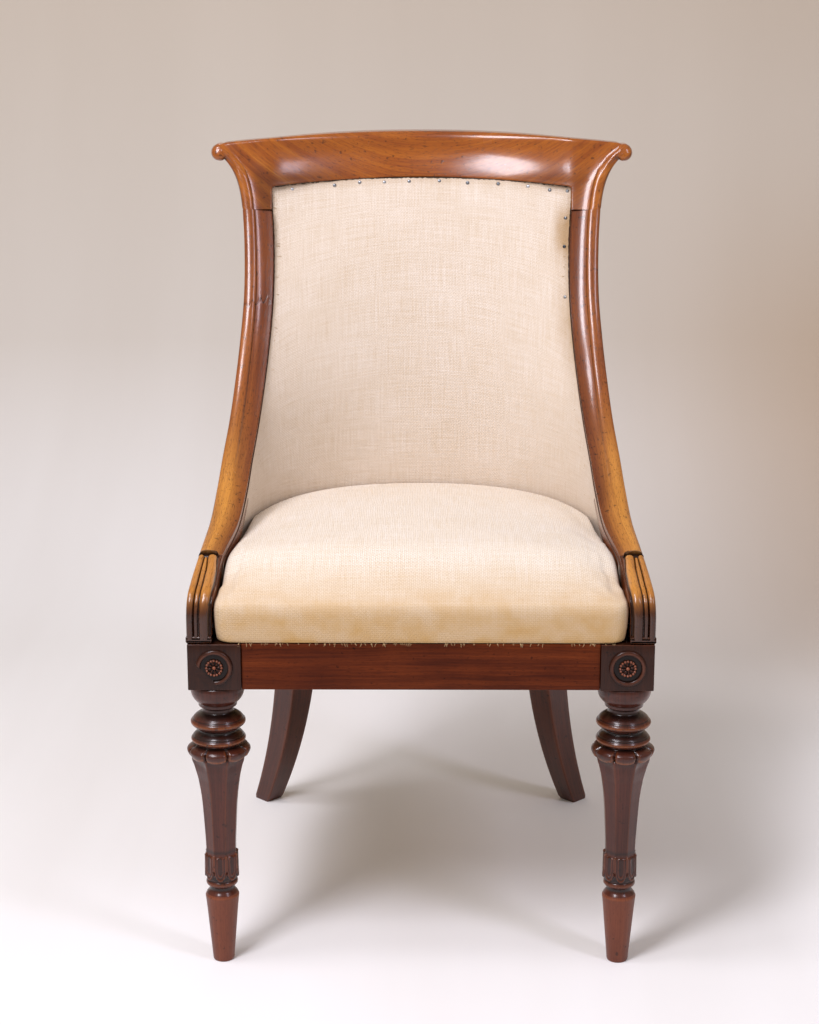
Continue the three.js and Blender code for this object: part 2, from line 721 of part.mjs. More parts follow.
function pateraGeometry() {
  const ring_shares = [
    [0, 0], [1, 0], [1, 0.55], [0.97, 0.85], [0.87, 1], [0.78, 0.85], [0.72, 0.3], [0, 0.3],
  ];
  const total = patera_back + patera_rise;
  const profile = ring_shares.map(([across, up]) => new THREE.Vector2(across * patera_radius, up * total));
  let patera = solid(new THREE.LatheGeometry(profile, patera_sides));
  for (let i = 0; i < 8; i++) {
    const petal = new THREE.SphereGeometry(petal_radius, 6, 4).scale(1.15, patera_dish / petal_radius, 0.72);
    petal.translate(flower_radius, total * 0.34, 0).rotateY(2 * Math.PI * i / 8);
    patera = patera.add(solid(petal));
  }
  const eye = new THREE.SphereGeometry(petal_radius, 8, 4).scale(1, patera_dish / petal_radius, 1);
  eye.translate(0, total * 0.36, 0);
  patera = patera.add(solid(eye));
  return geometryOf(patera).rotateX(Math.PI);
}

const rail_face = -block_side / 2 + rail_setback;
const tenon_low = leg_height + tenon_shoulder;
const tenon_high = rail_top - tenon_shoulder;
const front_tenon_y = rail_face + front_rail_thickness / 2;
const side_tenon_x = block_outer - rail_setback - side_rail_thickness / 2;

function frontTenon(extra) {
  const half = tenon_thickness / 2 + extra;
  const reach = tenon_length + extra;
  return box(
    block_inner - overrun, block_inner + reach,
    front_tenon_y - half, front_tenon_y + half, tenon_low - extra, tenon_high + extra,
  );
}

function sideTenon(extra) {
  const half = tenon_thickness / 2 + extra;
  return box(
    side_tenon_x - half, side_tenon_x + half,
    block_side / 2 - tenon_length - extra, block_side / 2 + overrun, tenon_low - extra, tenon_high + extra,
  );
}

function buildFrontLegs() {
  const half = block_side / 2;
  const outline = new THREE.Shape([
    [-1, -1, 1, 0], [1, -1, -1, 0], [1, -1, 0, 1], [1, 1, 0, -1], [1, 1, -1, 0], [-1, 1, 1, 0],
    [-1, 1, 0, -1], [-1, -1, 0, 1],
  ].map(([x, y, cut_x, cut_y]) => new THREE.Vector2(
    x * half + cut_x * block_arris, y * half + cut_y * block_arris,
  )));
  const block = new THREE.ExtrudeGeometry(outline, { depth: block_height, bevelEnabled: false })
    .translate(0, 0, leg_height);
  const patera_seat = new THREE.CylinderGeometry(
    patera_radius + fit_gap, patera_radius + fit_gap, 2 * (patera_back + fit_gap), patera_sides,
  ).translate(0, -half, patera_height);
  let leg = solid(block);
  for (const turned of [upperTurning(), scallopedCollar(), octagonShaft(), lowerTurning()]) {
    leg = leg.add(solid(turned));
  }
  leg = solid(geometryOf(leg).translate(block_x, 0, 0));
  leg = leg.subtract(solid(frontTenon(fit_gap))).subtract(solid(sideTenon(fit_gap)));
  leg = leg.subtract(solid(terminalDowel(dowel_radius + fit_gap, fit_gap)));
  leg = leg.subtract(solid(patera_seat.translate(block_x, 0, 0)));
  const patera = pateraGeometry().translate(block_x, -half + patera_back, patera_height);
  for (const [word, side] of sides) {
    place(`front_leg_${word}`, handed(geometryOf(leg), side), 'leg');
    place(`patera_${word}`, handed(patera, side), 'leg');
  }
}

// The back leg's section is a square set cornerwise, its faces along the way the sabre runs.
function backLegLoop(x, y, z, side, grow) {
  const half = side / 2 + grow;
  return [[-1, -1], [1, -1], [1, 1], [-1, 1]].map(([a, b]) => {
    const across = new THREE.Vector2(a * half, b * half).rotateAround(new THREE.Vector2(), back_leg_turn);
    return new THREE.Vector3(x + across.x, y + across.y, z);
  });
}

function backLegGeometry(grow) {
  const loops = [backLegLoop(back_leg_x, back_leg_y, rail_top + grow, back_leg_side, grow)];
  for (let i = 0; i <= 12; i++) {
    const fall = (i / 12) ** sabre_power;
    const z = mix(leg_height, 0, i / 12);
    const x = mix(back_leg_x, back_foot_x, fall);
    const y = mix(back_leg_y, back_foot_y, fall);
    loops.push(backLegLoop(x, y, z, mix(back_leg_side, back_foot_side, i / 12), grow));
  }
  return loft(loops);
}

// The tub in plan: a bow from one edge through the middle to the other edge.
// A higher power makes it squarer.
function bowed(edge, middle, across, round, tight) {
  const reach = Math.min(Math.abs(across), 1);
  const share = Math.max(1 - reach ** round, 0) ** (1 / tight);
  return new THREE.Vector3(edge.x * across, mix(edge.y, middle.y, share), mix(edge.z, middle.z, share));
}

// Places across the tub, closer together near the edges, where it turns most.
function acrossShares(count) {
  const shares = [];
  for (let j = 0; j <= count; j++) {
    const even = 2 * j / count - 1;
    shares.push(mix(even, Math.sin(even * Math.PI / 2), 0.75));
  }
  return shares;
}

const low_share = 0.08;
const high_share = 0.997;
const round_powers = [3.4, 2.8, 2.6, 2.4, 2.25, 2.15, 2.1, 2.05, 2, 2, 2];
const tight_powers = [3.4, 2.8, 2.5, 2.2, 1.95, 1.7, 1.5, 1.35, 1.25, 1.18, 1.12];
const frame_round_power = 3.6;
const outside_round_powers = [3.6, 3.1, 2.8, 2.5, 2.3, 2.2, 2.1, 2.05, 2, 2, 2];
const outside_tight_powers = [3.6, 3.1, 2.8, 2.6, 2.4, 2.2, 2, 1.85, 1.7, 1.55, 1.4];

function middleCurve(bottom_y, seat_y, top_y, high_share_y) {
  return new THREE.CubicBezierCurve(
    new THREE.Vector2(bottom_y, rail_top),
    new THREE.Vector2(mix(bottom_y, seat_y, 1.6), mix(rail_top, crest_under_middle, 0.28)),
    new THREE.Vector2(mix(seat_y, top_y, high_share_y), mix(rail_top, crest_under_middle, 0.62)),
    new THREE.Vector2(top_y, crest_under_middle),
  );
}
const inside_middle_curve = middleCurve(inside_bottom_y, inside_seat_y, inside_top_y, 0.22);
const outside_middle_curve = middleCurve(frame_depth, frame_depth - overrun, outside_top_y, 0.36);

function padThickness(across, up) {
  const near_edge = smooth((Math.abs(across) - 0.7) / 0.3);
  const near_top = smooth((up - 0.55) / 0.45);
  return mix(back_pad_thickness * mix(1, 0.42, near_top), back_pad_edge, near_edge);
}

// The edge of a tub surface in side view: it climbs from the rail to the stile and follows it up.
function tubEdge(up, depth, bottom_y) {
  const low = sweepPoint(low_share, depth);
  if (up < low_share) {
    return { y: mix(bottom_y, low.y, up / low_share), z: mix(rail_top + fit_gap, low.z, up / low_share) };
  }
  return sweepPoint(mix(low_share, high_share, (up - low_share) / (1 - low_share)), depth);
}

// A point of the hessian that the sitter leans on: across from -1 to 1, up from 0 at the rail
// to 1 at the crest. fill counts thicknesses of the padding outwards, and beyond adds to them.
function insidePoint(across, up, fill, beyond) {
  const bottom_y = block_side / 2 + fit_gap + hessian_thickness;
  const point = tubEdge(up, back_pad_depth, bottom_y);
  const edge = { x: stileInner(Math.max(up, low_share)) - back_pad_inset, y: point.y, z: point.z };
  const line = inside_middle_curve.getPoint(up);
  const middle = { y: line.x, z: line.y + fit_gap * (1 - 2 * up) };
  const round = along(round_powers, up);
  const tight = along(tight_powers, up);
  const here = bowed(edge, middle, across, round, tight);
  const step = 0.01;
  const inner = Math.min(Math.max(across, step - 1), 1 - step);
  const sideways = bowed(edge, middle, inner + step, round, tight)
    .sub(bowed(edge, middle, inner - step, round, tight));
  const outward = new THREE.Vector3(-sideways.y, sideways.x, 0).normalize();
  return here.addScaledVector(outward, fill * padThickness(across, up) + beyond);
}

function insideGrid(places, ups, fill, beyond) {
  return ups.map((up) => places.map((across) => insidePoint(across, up, fill, beyond)));
}

// A point of the outside cover, which runs under the stiles and stands on the rails.
function outsidePoint(across, up, depth) {
  const bottom_y = plinth_depth - block_side / 2 + overrun / 2;
  const point = tubEdge(up, stile_depth + 2 * fit_gap + hessian_thickness, bottom_y);
  const climb = smooth(up / low_share);
  const edge_x = mix(block_outer - rail_setback, stileOuter(Math.max(up, low_share)) - overrun, climb);
  const line = outside_middle_curve.getPoint(up);
  const middle = { y: line.x, z: line.y + fit_gap * (1 - 2 * up) };
  const round = along(outside_round_powers, up);
  const tight = along(outside_tight_powers, up);
  const here = bowed({ x: edge_x, y: point.y, z: point.z }, middle, across, round, tight);
  const inward = new THREE.Vector3(-Math.sign(across) * Math.abs(across) ** 3, Math.abs(across) ** 3 - 1, 0);
  return here.addScaledVector(inward.normalize(), depth);
}

function evenShares(count) {
  return Array.from({ length: count + 1 }, (_, i) => i / count);
}

const tub_row_shares = [0, 0.08, 0.15, 0.23, 0.33, 0.44, 0.55, 0.66, 0.77, 0.88, 1];
const tub_columns = 16;
const strap_centre_shares = [-0.6, -0.3, 0, 0.3, 0.6];
const strap_slack = 2.3;
const pad_top_share = 0.98;
const upright_centre_share = 0.56;
const upright_half_share = 0.075;
const upright_depth = 17;
const stay_low_share = 0.1;
const stay_high_share = 0.17;

// Everything outside the hessian the sitter leans on, as a cutter for the seat.
function tubCutter() {
  const places = acrossShares(tub_columns);
  const front = insideGrid(places, tub_row_shares, 0, -fit_gap);
  const back = insideGrid(places, tub_row_shares, 0, 4 * back_pad_thickness);
  for (const grid of [front, back]) {
    for (const row of grid) {
      row[0].y -= 2 * fit_gap;
      row[tub_columns].y -= 2 * fit_gap;
    }
    grid.unshift(grid[0].map((p) => new THREE.Vector3(p.x, p.y, p.z - overrun)));
  }
  return solid(slab(front, back));
}

function buildTub() {
  const places = acrossShares(tub_columns);
  const stiles = sides.map(([, side]) => solid(handed(geometryOf(stileSolid(fit_gap)), side)));
  const clear = (geometry) => stiles.reduce((body, stile) => body.subtract(stile), solid(geometry));
  const cover = slab(
    insideGrid(places, tub_row_shares, 0, 0),
    insideGrid(places, tub_row_shares, 0, hessian_thickness),
  );
  place('inside_back_cover', geometryOf(clear(cover)), 'hessian');
  const pad_start = hessian_thickness + fit_gap;
  const pad_rows = tub_row_shares.map((up) => Math.min(up, pad_top_share));
  const pad = slab(insideGrid(places, pad_rows, 0, pad_start), insideGrid(places, pad_rows, 1, pad_start));
  place('back_stuffing', geometryOf(clear(pad)), 'stuffing');

  const strap_start = pad_start + strap_slack;
  strap_centre_shares.forEach((centre, i) => {
    const half = web_width / 2 / stileInner(0.5);
    const strap_places = [centre - half, centre, centre + half];
    const strap = slab(
      insideGrid(strap_places, pad_rows, 1, strap_start),
      insideGrid(strap_places, pad_rows, 1, strap_start + web_thickness),
    );
    place(`back_web_${i + 1}`, closed(strap), 'webbing');
  });

  const frame_start = strap_start + web_thickness + strap_slack;
  for (const [word, side] of sides) {
    const post_places = [-1, 0, 1].map((share) => upright_centre_share + share * upright_half_share);
    const upright = slab(
      insideGrid(post_places, pad_rows, 1, frame_start),
      insideGrid(post_places, pad_rows, 1, frame_start + upright_depth),
    );
    place(`back_upright_${word}`, handed(closed(upright), side), 'beech');
  }
  const stay_reach = upright_centre_share - upright_half_share - 4 * fit_gap / stileInner(low_share);
  const stay_places = evenShares(8).map((share) => mix(-stay_reach, stay_reach, share));
  const stay = slab(
    insideGrid(stay_places, [stay_low_share, stay_high_share], 1, frame_start),
    insideGrid(stay_places, [stay_low_share, stay_high_share], 1, frame_start + upright_depth),
  );
  place('back_stay_rail', closed(stay), 'beech');

  const outside = (depth) => tub_row_shares.map(
    (up) => places.map((across) => outsidePoint(across, up, depth)),
  );
  place('outside_back_cover', geometryOf(clear(slab(outside(0), outside(hessian_thickness)))), 'hessian');
}

// The seat frame in plan: an outer line that bows from block to block round the back.
function frameLine(across, inset) {
  const edge = { x: block_outer - rail_setback, y: block_side / 2, z: 0 };
  const middle = { y: frame_depth, z: 0 };
  const here = bowed(edge, middle, across, frame_round_power, frame_round_power);
  const step = 0.01;
  const inner = Math.min(Math.max(across, step - 1), 1 - step);
  const sideways = bowed(edge, middle, inner + step, frame_round_power, frame_round_power)
    .sub(bowed(edge, middle, inner - step, frame_round_power, frame_round_power));
  const inward = new THREE.Vector3(sideways.y, -sideways.x, 0).normalize();
  return here.addScaledVector(inward, inset);
}

// A length of the curved frame between two places across, as a board sawn to the curve.
function curvedRail(from, to, thickness, low, high, steps) {
  const outer = [];
  const inner = [];
  for (let i = 0; i <= steps; i++) {
    const across = mix(from, to, i / steps);
    outer.push(frameLine(across, 0));
    inner.push(frameLine(across, thickness));
  }
  const loop = outer.concat(inner.reverse()).map((p) => new THREE.Vector2(p.x, p.y));
  return new THREE.ExtrudeGeometry(new THREE.Shape(loop), { depth: high - low, bevelEnabled: false })
    .translate(0, 0, low);
}

const side_rail_end_share = 0.74;
const back_rail_end_share = 0.56;

function buildRails() {
  const rail = solid(box(
    -block_inner + fit_gap, block_inner - fit_gap,
    rail_face, rail_face + front_rail_thickness, leg_height, rail_top,
  ));
  const front_tenons = sides.map(([, side]) => solid(handed(closed(frontTenon(0)), side)));
  place('front_seat_rail', geometryOf(front_tenons.reduce((body, tenon) => body.add(tenon), rail)), 'rail');

  const block = box(
    block_inner - fit_gap, block_outer + fit_gap,
    -block_side / 2 - fit_gap, block_side / 2 + fit_gap, leg_height - overrun, rail_top + overrun,
  );
  const leg = solid(backLegGeometry(fit_gap));
  const back_reach = back_leg_x / (block_outer - rail_setback);
  const side_board = solid(curvedRail(1, back_reach, side_rail_thickness, leg_height, rail_top, 18));
  const side_rail = largest(side_board.subtract(solid(block)).subtract(leg)).add(solid(sideTenon(0)));
  let back_rail = solid(curvedRail(-back_reach, back_reach, back_rail_thickness, leg_height, rail_top, 16));
  for (const [word, side] of sides) {
    place(`side_seat_rail_${word}`, handed(geometryOf(side_rail), side), 'rail');
    back_rail = back_rail.subtract(solid(handed(backLegGeometry(fit_gap), side)));
  }
  place('back_seat_rail', geometryOf(largest(back_rail)), 'rail');
  for (const [word, side] of sides) {
    place(`back_leg_${word}`, handed(backLegGeometry(0), side), 'leg');
  }
}

// The biggest of the pieces that a cut leaves.
function largest(body) {
  return body.decompose().reduce((best, piece) => (piece.volume() > best.volume() ? piece : best));
}

// Glue blocks in the front corners of the frame, and behind them by the back legs.
const brace_leg = 46;
const brace_height = 32;

function buildBraces() {
  const rail_inner_y = rail_face + front_rail_thickness;
  const corner = new THREE.Vector2(block_inner - fit_gap, rail_inner_y + fit_gap);
  const shape = new THREE.Shape([
    corner, new THREE.Vector2(corner.x - brace_leg, corner.y),
    new THREE.Vector2(corner.x, corner.y + brace_leg),
  ]);
  const brace = new THREE.ExtrudeGeometry(shape, { depth: brace_height, bevelEnabled: false })
    .translate(0, 0, leg_height + fit_gap + web_thickness);
  for (const [word, side] of sides) place(`corner_block_${word}`, handed(closed(brace), side), 'beech');
}

// The seat's outline in plan, a closed loop from the front middle round to the left.
const seat_corner = 18;
function seatOutline(count) {
  const half = seat_front_half;
  const path = new THREE.Path();
  path.moveTo(0, seat_front_y);
  path.lineTo(half - seat_corner, seat_front_y);
  path.absarc(half - seat_corner, seat_front_y + seat_corner, seat_corner, -Math.PI / 2, 0, false);
  path.lineTo(half, mix(seat_front_y, seat_back_y, 0.35));
  path.bezierCurveTo(half, mix(seat_front_y, seat_back_y, 0.8), half * 0.62, seat_back_y, 0, seat_back_y);
  const right = path.getSpacedPoints(count / 2);
  const left = right.slice(1, -1).reverse().map((point) => new THREE.Vector2(-point.x, point.y));
  return right.concat(left);
}

const seat_loop_count = 32;
const seat_hub_y = mix(seat_front_y, seat_back_y, 0.48);
const wall_shares = [[0, 0], [0.28, 0.8], [0.58, 1], [0.84, 0.55], [0.96, -0.3]];
const top_shares = [0.955, 0.86, 0.62, 0.34, 0.06];

function seatBase(y) {
  return mix(seat_shoulder_front, seat_shoulder_back, smooth((y - seat_front_y) / seat_rise_length));
}

// The seat's upper skin as loops from the rail up the wall and over the dome, set in by depth.
function seatLoops(depth) {
  const outline = seatOutline(seat_loop_count);
  const inset = depth / (seat_front_half + seat_bulge);
  const at = (point, scale) => new THREE.Vector2(point.x * scale, mix(seat_hub_y, point.y, scale));
  const walls = wall_shares.map(([up, swell]) => outline.map((point) => {
    const scale = 1 - inset + swell * seat_bulge / seat_front_half;
    const place_2d = at(point, scale);
    return new THREE.Vector3(place_2d.x, place_2d.y, mix(rail_top + fit_gap, seatBase(point.y) - depth, up));
  }));
  const tops = top_shares.map((scale) => outline.map((point) => {
    const place_2d = at(point, scale - inset);
    const crown = seat_crown * (1 - scale ** 2);
    return new THREE.Vector3(place_2d.x, place_2d.y, seatBase(place_2d.y) + crown - depth);
  }));
  return walls.concat(tops);
}

// The underside over the springs: flat on the rails, then domed.
function seatUnder(scales, low, high) {
  const outline = seatOutline(seat_loop_count);
  return scales.map((scale) => outline.map((point) => {
    const rise = smooth((0.94 - scale) / 0.7);
    return new THREE.Vector3(point.x * scale, mix(seat_hub_y, point.y, scale), mix(low, high, rise));
  }));
}

const under_shares = [0.06, 0.38, 0.62, 0.82, 0.935];
const deck_low = rail_top + fit_gap;

function buildSeat() {
  const cutter = tubCutter();
  const stiles = sides.map(([, side]) => solid(handed(geometryOf(stileSolid(fit_gap)), side)));
  const trim = (geometry) => {
    const clear = solid(geometry).subtract(cutter);
    return largest(stiles.reduce((body, stile) => body.subtract(stile), clear));
  };
  const lining = seatLoops(hessian_thickness).reverse();
  const cover = loft(lining.concat(seatLoops(0)), [0, lining.length]);
  place('seat_cover', geometryOf(trim(cover)), 'hessian');

  const deck_top = deck_low + hessian_thickness + fit_gap;
  const shelf = seatUnder([0.94], deck_top, deck_top).concat(seatUnder([0.945], deck_low, deck_low));
  const pad_under = seatUnder(under_shares, deck_top, spring_deck_middle + hessian_thickness + fit_gap);
  const pad = loft(pad_under.concat(shelf, seatLoops(hessian_thickness + fit_gap)));
  place('seat_stuffing', geometryOf(trim(pad)), 'stuffing');

  const deck_lower = seatUnder(under_shares, deck_low, spring_deck_middle);
  const deck_upper = seatUnder(
    under_shares, deck_low + hessian_thickness, spring_deck_middle + hessian_thickness,
  );
  const deck = loft(deck_lower.concat(deck_upper.reverse()), [deck_lower.length, 2 * deck_lower.length]);
  place('spring_deck_hessian', geometryOf(trim(deck)), 'lining');
}

// Seat webbing under the rails: four straps each way, sewn flat where they cross.
const web_overlap = 18;
const web_across_shares = [-0.66, -0.22, 0.22, 0.66];
const web_along_shares = [0.17, 0.38, 0.59, 0.8];

function buildSeatWebbing() {
  const top = leg_height - fit_gap;
  const inner_half = block_inner - web_width / 2;
  const front = rail_face + front_rail_thickness - web_overlap;
  let lattice = null;
  const join = (geometry) => {
    lattice = lattice ? lattice.add(solid(geometry)) : solid(geometry);
  };
  for (const share of web_across_shares) {
    const x = share * inner_half;
    const across = (Math.abs(x) + web_width / 2) / (block_outer - rail_setback);
    const back = frameLine(across, back_rail_thickness).y + web_overlap;
    join(box(x - web_width / 2, x + web_width / 2, front, back, top - web_thickness, top));
  }
  for (const share of web_along_shares) {
    const y = mix(block_side / 2, frame_depth - back_rail_thickness, share);
    let across = 1;
    while (frameLine(across, side_rail_thickness).y < y + web_width / 2) across -= 0.01;
    const reach = frameLine(across, side_rail_thickness).x + web_overlap;
    join(box(-reach, reach, y - web_width / 2, y + web_width / 2, top - web_thickness, top));
  }
  place('seat_webbing', geometryOf(lattice), 'webbing');
}

// Coil springs: a waisted helix of a few turns, each one unbroken wire.
const spring_wire = 3.4;
const spring_end_radius = 38;
const spring_waist_radius = 24;
const spring_turn_count = 5;
const spring_place_shares = [
  ['front_left', -0.4, 0.3], ['front_right', 0.4, 0.3], ['middle', 0, 0.5],
  ['back_left', -0.36, 0.7], ['back_right', 0.36, 0.7],
];

const spring_turn_steps = 8;

// The least gap between a spring's wire and itself, from its centres half a turn apart or more.
function leastGap(centres) {
  let least = Infinity;
  centres.forEach((centre, i) => {
    for (const other of centres.slice(i + spring_turn_steps / 2)) {
      least = Math.min(least, centre.distanceTo(other));
    }
  });
  return least - spring_wire;
}

function springGeometry(x, y, low, high) {
  const steps = spring_turn_steps * spring_turn_count;
  const section = 5;
  const radius = spring_wire / 2;
  const centre = (i) => {
    const share = i / steps;
    const angle = 2 * Math.PI * spring_turn_count * share;
    const wide = mix(spring_waist_radius, spring_end_radius, (2 * share - 1) ** 2);
    const z = mix(low + radius, high - radius, smooth(share));
    return new THREE.Vector3(x + wide * Math.cos(angle), y + wide * Math.sin(angle), z);
  };
  const centres = Array.from({ length: steps + 1 }, (_, i) => centre(i));
  console.log(`spring's least gap to itself: ${leastGap(centres).toFixed(2)} mm`);
  const loops = [];
  for (let i = 0; i <= steps; i++) {
    const here = centre(i);
    const way = centre(Math.min(i + 0.5, steps)).sub(centre(Math.max(i - 0.5, 0))).normalize();
    const out = new THREE.Vector3(here.x - x, here.y - y, 0).normalize();
    const side = new THREE.Vector3().crossVectors(way, out).normalize();
    out.crossVectors(side, way);
    const loop = [];
    for (let j = 0; j < section; j++) {
      const angle = 2 * Math.PI * j / section;
      const spoke = out.clone().multiplyScalar(radius * Math.cos(angle));
      loop.push(here.clone().add(spoke).addScaledVector(side, radius * Math.sin(angle)));
    }
    loops.push(loop);
  }
  return loft(loops);
}

function deckHeight(x, y) {
  const half_depth = (seat_back_y - seat_front_y) / 2;
  const scale = Math.hypot(x / seat_front_half, (y - seat_hub_y) / half_depth);
  return mix(deck_low, spring_deck_middle, smooth((0.94 - scale) / 0.7));
}

function buildSprings() {
  for (const [word, across, back] of spring_place_shares) {
    const x = across * seat_front_half;
    const y = mix(seat_front_y, seat_back_y, back);
    const rim = evenShares(16).map((share) => {
      const angle = 2 * Math.PI * share;
      return deckHeight(x + spring_end_radius * Math.cos(angle), y + spring_end_radius * Math.sin(angle));
    });
    const high = Math.min(...rim) - spring_wire / 2;
    place(`seat_spring_${word}`, springGeometry(x, y, leg_height, high), 'spring');
  }
}

buildCrest();
buildStiles();
buildFrontLegs();
buildRails();
buildBraces();
buildTub();
buildSeat();
buildSeatWebbing();
buildSprings();

// The origin lies on the floor under the middle of the whole chair.
const extent = new THREE.Box3().setFromObject(chair);
chair.position.set(0, -(extent.min.y + extent.max.y) / 2, 0);
chair.updateMatrixWorld(true);

export default chair;
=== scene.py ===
import math

import bmesh
import bpy
import numpy as np
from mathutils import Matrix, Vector
from mathutils.bvhtree import BVHTree


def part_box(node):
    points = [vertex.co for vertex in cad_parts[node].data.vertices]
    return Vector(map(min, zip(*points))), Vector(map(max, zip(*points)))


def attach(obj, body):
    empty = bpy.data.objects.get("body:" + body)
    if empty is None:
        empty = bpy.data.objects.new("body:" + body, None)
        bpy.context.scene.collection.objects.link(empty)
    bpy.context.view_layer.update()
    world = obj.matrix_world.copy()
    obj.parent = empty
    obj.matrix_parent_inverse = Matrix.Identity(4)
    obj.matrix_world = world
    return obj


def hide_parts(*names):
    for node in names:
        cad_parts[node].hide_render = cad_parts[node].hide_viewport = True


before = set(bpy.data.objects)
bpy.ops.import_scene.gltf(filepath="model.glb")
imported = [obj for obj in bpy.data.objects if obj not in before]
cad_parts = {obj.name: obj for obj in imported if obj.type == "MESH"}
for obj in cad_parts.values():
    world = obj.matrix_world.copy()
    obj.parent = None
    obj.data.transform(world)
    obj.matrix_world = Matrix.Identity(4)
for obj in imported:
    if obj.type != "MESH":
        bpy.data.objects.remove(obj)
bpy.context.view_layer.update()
draws = np.random.default_rng(7)

# Shapes are worked out in millimetres, with Y = 0 in the plane of the front legs' axes.
leg_line = sum(corner.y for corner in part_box("front_leg_left")) / 2


# small tools

def mix(a, b, share):
    """A straight line from a at share 0 to b at share 1."""
    return a + (b - a) * share


def smooth(share):
    """Rises from 0 to 1 with level ends: s squared times (3 - 2 s)."""
    s = np.clip(share, 0, 1)
    return s * s * (3 - 2 * s)


def hump(x, centre, width):
    """A bell: e to the minus square of the distance in widths."""
    return np.exp(-(((x - centre) / width) ** 2))


def dome(x):
    """A half circle of radius 1 about 0, and 0 outside it."""
    return np.sqrt(np.clip(1 - x * x, 0, 1))


def along(values, share):
    """Reads evenly spaced values with a cubic through each four neighbours (Catmull-Rom)."""
    v = np.asarray(values, float)
    s = np.clip(share, 0, 1) * (len(v) - 1)
    i = np.minimum(s.astype(int), len(v) - 2)
    f = s - i
    p0, p1, p2, p3 = v[np.maximum(i - 1, 0)], v[i], v[i + 1], v[np.minimum(i + 2, len(v) - 1)]
    bend = (2 * p0 - 5 * p1 + 4 * p2 - p3) * f**2 + (3 * p1 - p0 - 3 * p2 + p3) * f**3
    return (2 * p1 + (p2 - p0) * f + bend) / 2


def bezier(pulls, share):
    """A cubic Bezier: the four pulls weighed by the terms of ((1 - s) + s) cubed."""
    a, b, c, d = (np.asarray(p, float) for p in pulls)
    s = np.asarray(share, float)[..., None]
    return a * (1 - s) ** 3 + 3 * b * s * (1 - s) ** 2 + 3 * c * s**2 * (1 - s) + d * s**3


def bezier_way(pulls, share):
    """The Bezier's unit tangent, from its derivative."""
    a, b, c, d = (np.asarray(p, float) for p in pulls)
    s = np.asarray(share, float)[..., None]
    way = (b - a) * (1 - s) ** 2 + 2 * (c - b) * s * (1 - s) + (d - c) * s**2
    return way / np.linalg.norm(way, axis=-1, keepdims=True)


def run_over(points, axis=0):
    """The length run along a line of points, or over a grid of them along an axis, from 0."""
    step = np.linalg.norm(np.diff(points, axis=axis), axis=-1)
    start = np.zeros_like(np.take(step, [0], axis))
    return np.cumsum(np.concatenate([start, step], axis), axis)


def round_off(from_edge, radius):
    """How far a quarter round of the radius draws a face in, by the distance from its edge."""
    return radius * (1 - dome(np.clip(1 - from_edge / radius, 0, 1)))


def sheetwise(x, y, z, u, v, dirt_and_shade=0.0, wear_and_painted_light=0.0):
    """Stacks the channels of a surface: place, grain lengthwise and across, dirt and painted shade, wear and
    painted light.
    """
    return np.stack(np.broadcast_arrays(x, y, z, u, v, dirt_and_shade, wear_and_painted_light), -1).astype(float)


def capped(shell):
    """Closes a tube's two ends with a fan to the middle of each end loop."""
    first = np.repeat(shell[:1].mean(axis=1, keepdims=True), shell.shape[1], 1)
    last = np.repeat(shell[-1:].mean(axis=1, keepdims=True), shell.shape[1], 1)
    return np.concatenate([first, shell, last])


def slab(front, back):
    """A closed slab between two like grids: one loop a row, zipped shut at the first and last row."""
    loop = np.concatenate([front, back[:, ::-1], front[:, :1]], axis=1)
    half = (front + back) / 2
    zipped = np.concatenate([half, half[:, ::-1], half[:, :1]], axis=1)
    return np.concatenate([zipped[:1], loop, zipped[-1:]])


def piece(name, shells, material, nodes=(), side=1, crease=38):
    """Makes one piece from its shells, in metres, with seams and poles merged and faces out."""
    places, quads, start = [], [], 0
    for shell in shells:
        rows, columns = shell.shape[:2]
        index = np.arange(rows * columns).reshape(rows, columns) + start
        corners = index[:-1, :-1], index[:-1, 1:], index[1:, 1:], index[1:, :-1]
        quads.append(np.stack(corners, -1).reshape(-1, 4))
        places.append(shell.reshape(-1, 7))
        start += rows * columns
    values, faces = np.concatenate(places), np.concatenate(quads)
    at = values[:, :3] * [side * 0.001, 0.001, 0.001] + [0, leg_line, 0]
    mesh = bpy.data.meshes.new(name)
    mesh.from_pydata(at.tolist(), [], faces.tolist())
    grain = mesh.uv_layers.new(name="grain")
    grain.data.foreach_set("uv", (values[faces.ravel(), 3:5] * 0.001).ravel())
    for column, mark in ((5, "dirt_and_shade"), (6, "wear_and_painted_light")):
        mesh.attributes.new(mark, "FLOAT", "POINT").data.foreach_set("value", values[:, column])
    work = bmesh.new()
    work.from_mesh(mesh)
    bmesh.ops.remove_doubles(work, verts=work.verts, dist=4e-6)
    bmesh.ops.recalc_face_normals(work, faces=work.faces)
    work.to_mesh(mesh)
    work.free()
    mesh.shade_smooth()
    mesh.set_sharp_from_angle(angle=math.radians(crease))
    return settle(bpy.data.objects.new(name, mesh), material, nodes)


def settle(body, material, nodes=()):
    """Puts a piece in the scene with its finish and on its body, in place of its CAD nodes."""
    if body.name not in bpy.context.scene.collection.objects:
        bpy.context.scene.collection.objects.link(body)
    body.data.materials.clear()
    body.data.materials.append(material)
    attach(body, "root")
    if nodes:
        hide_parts(*nodes)
    return body


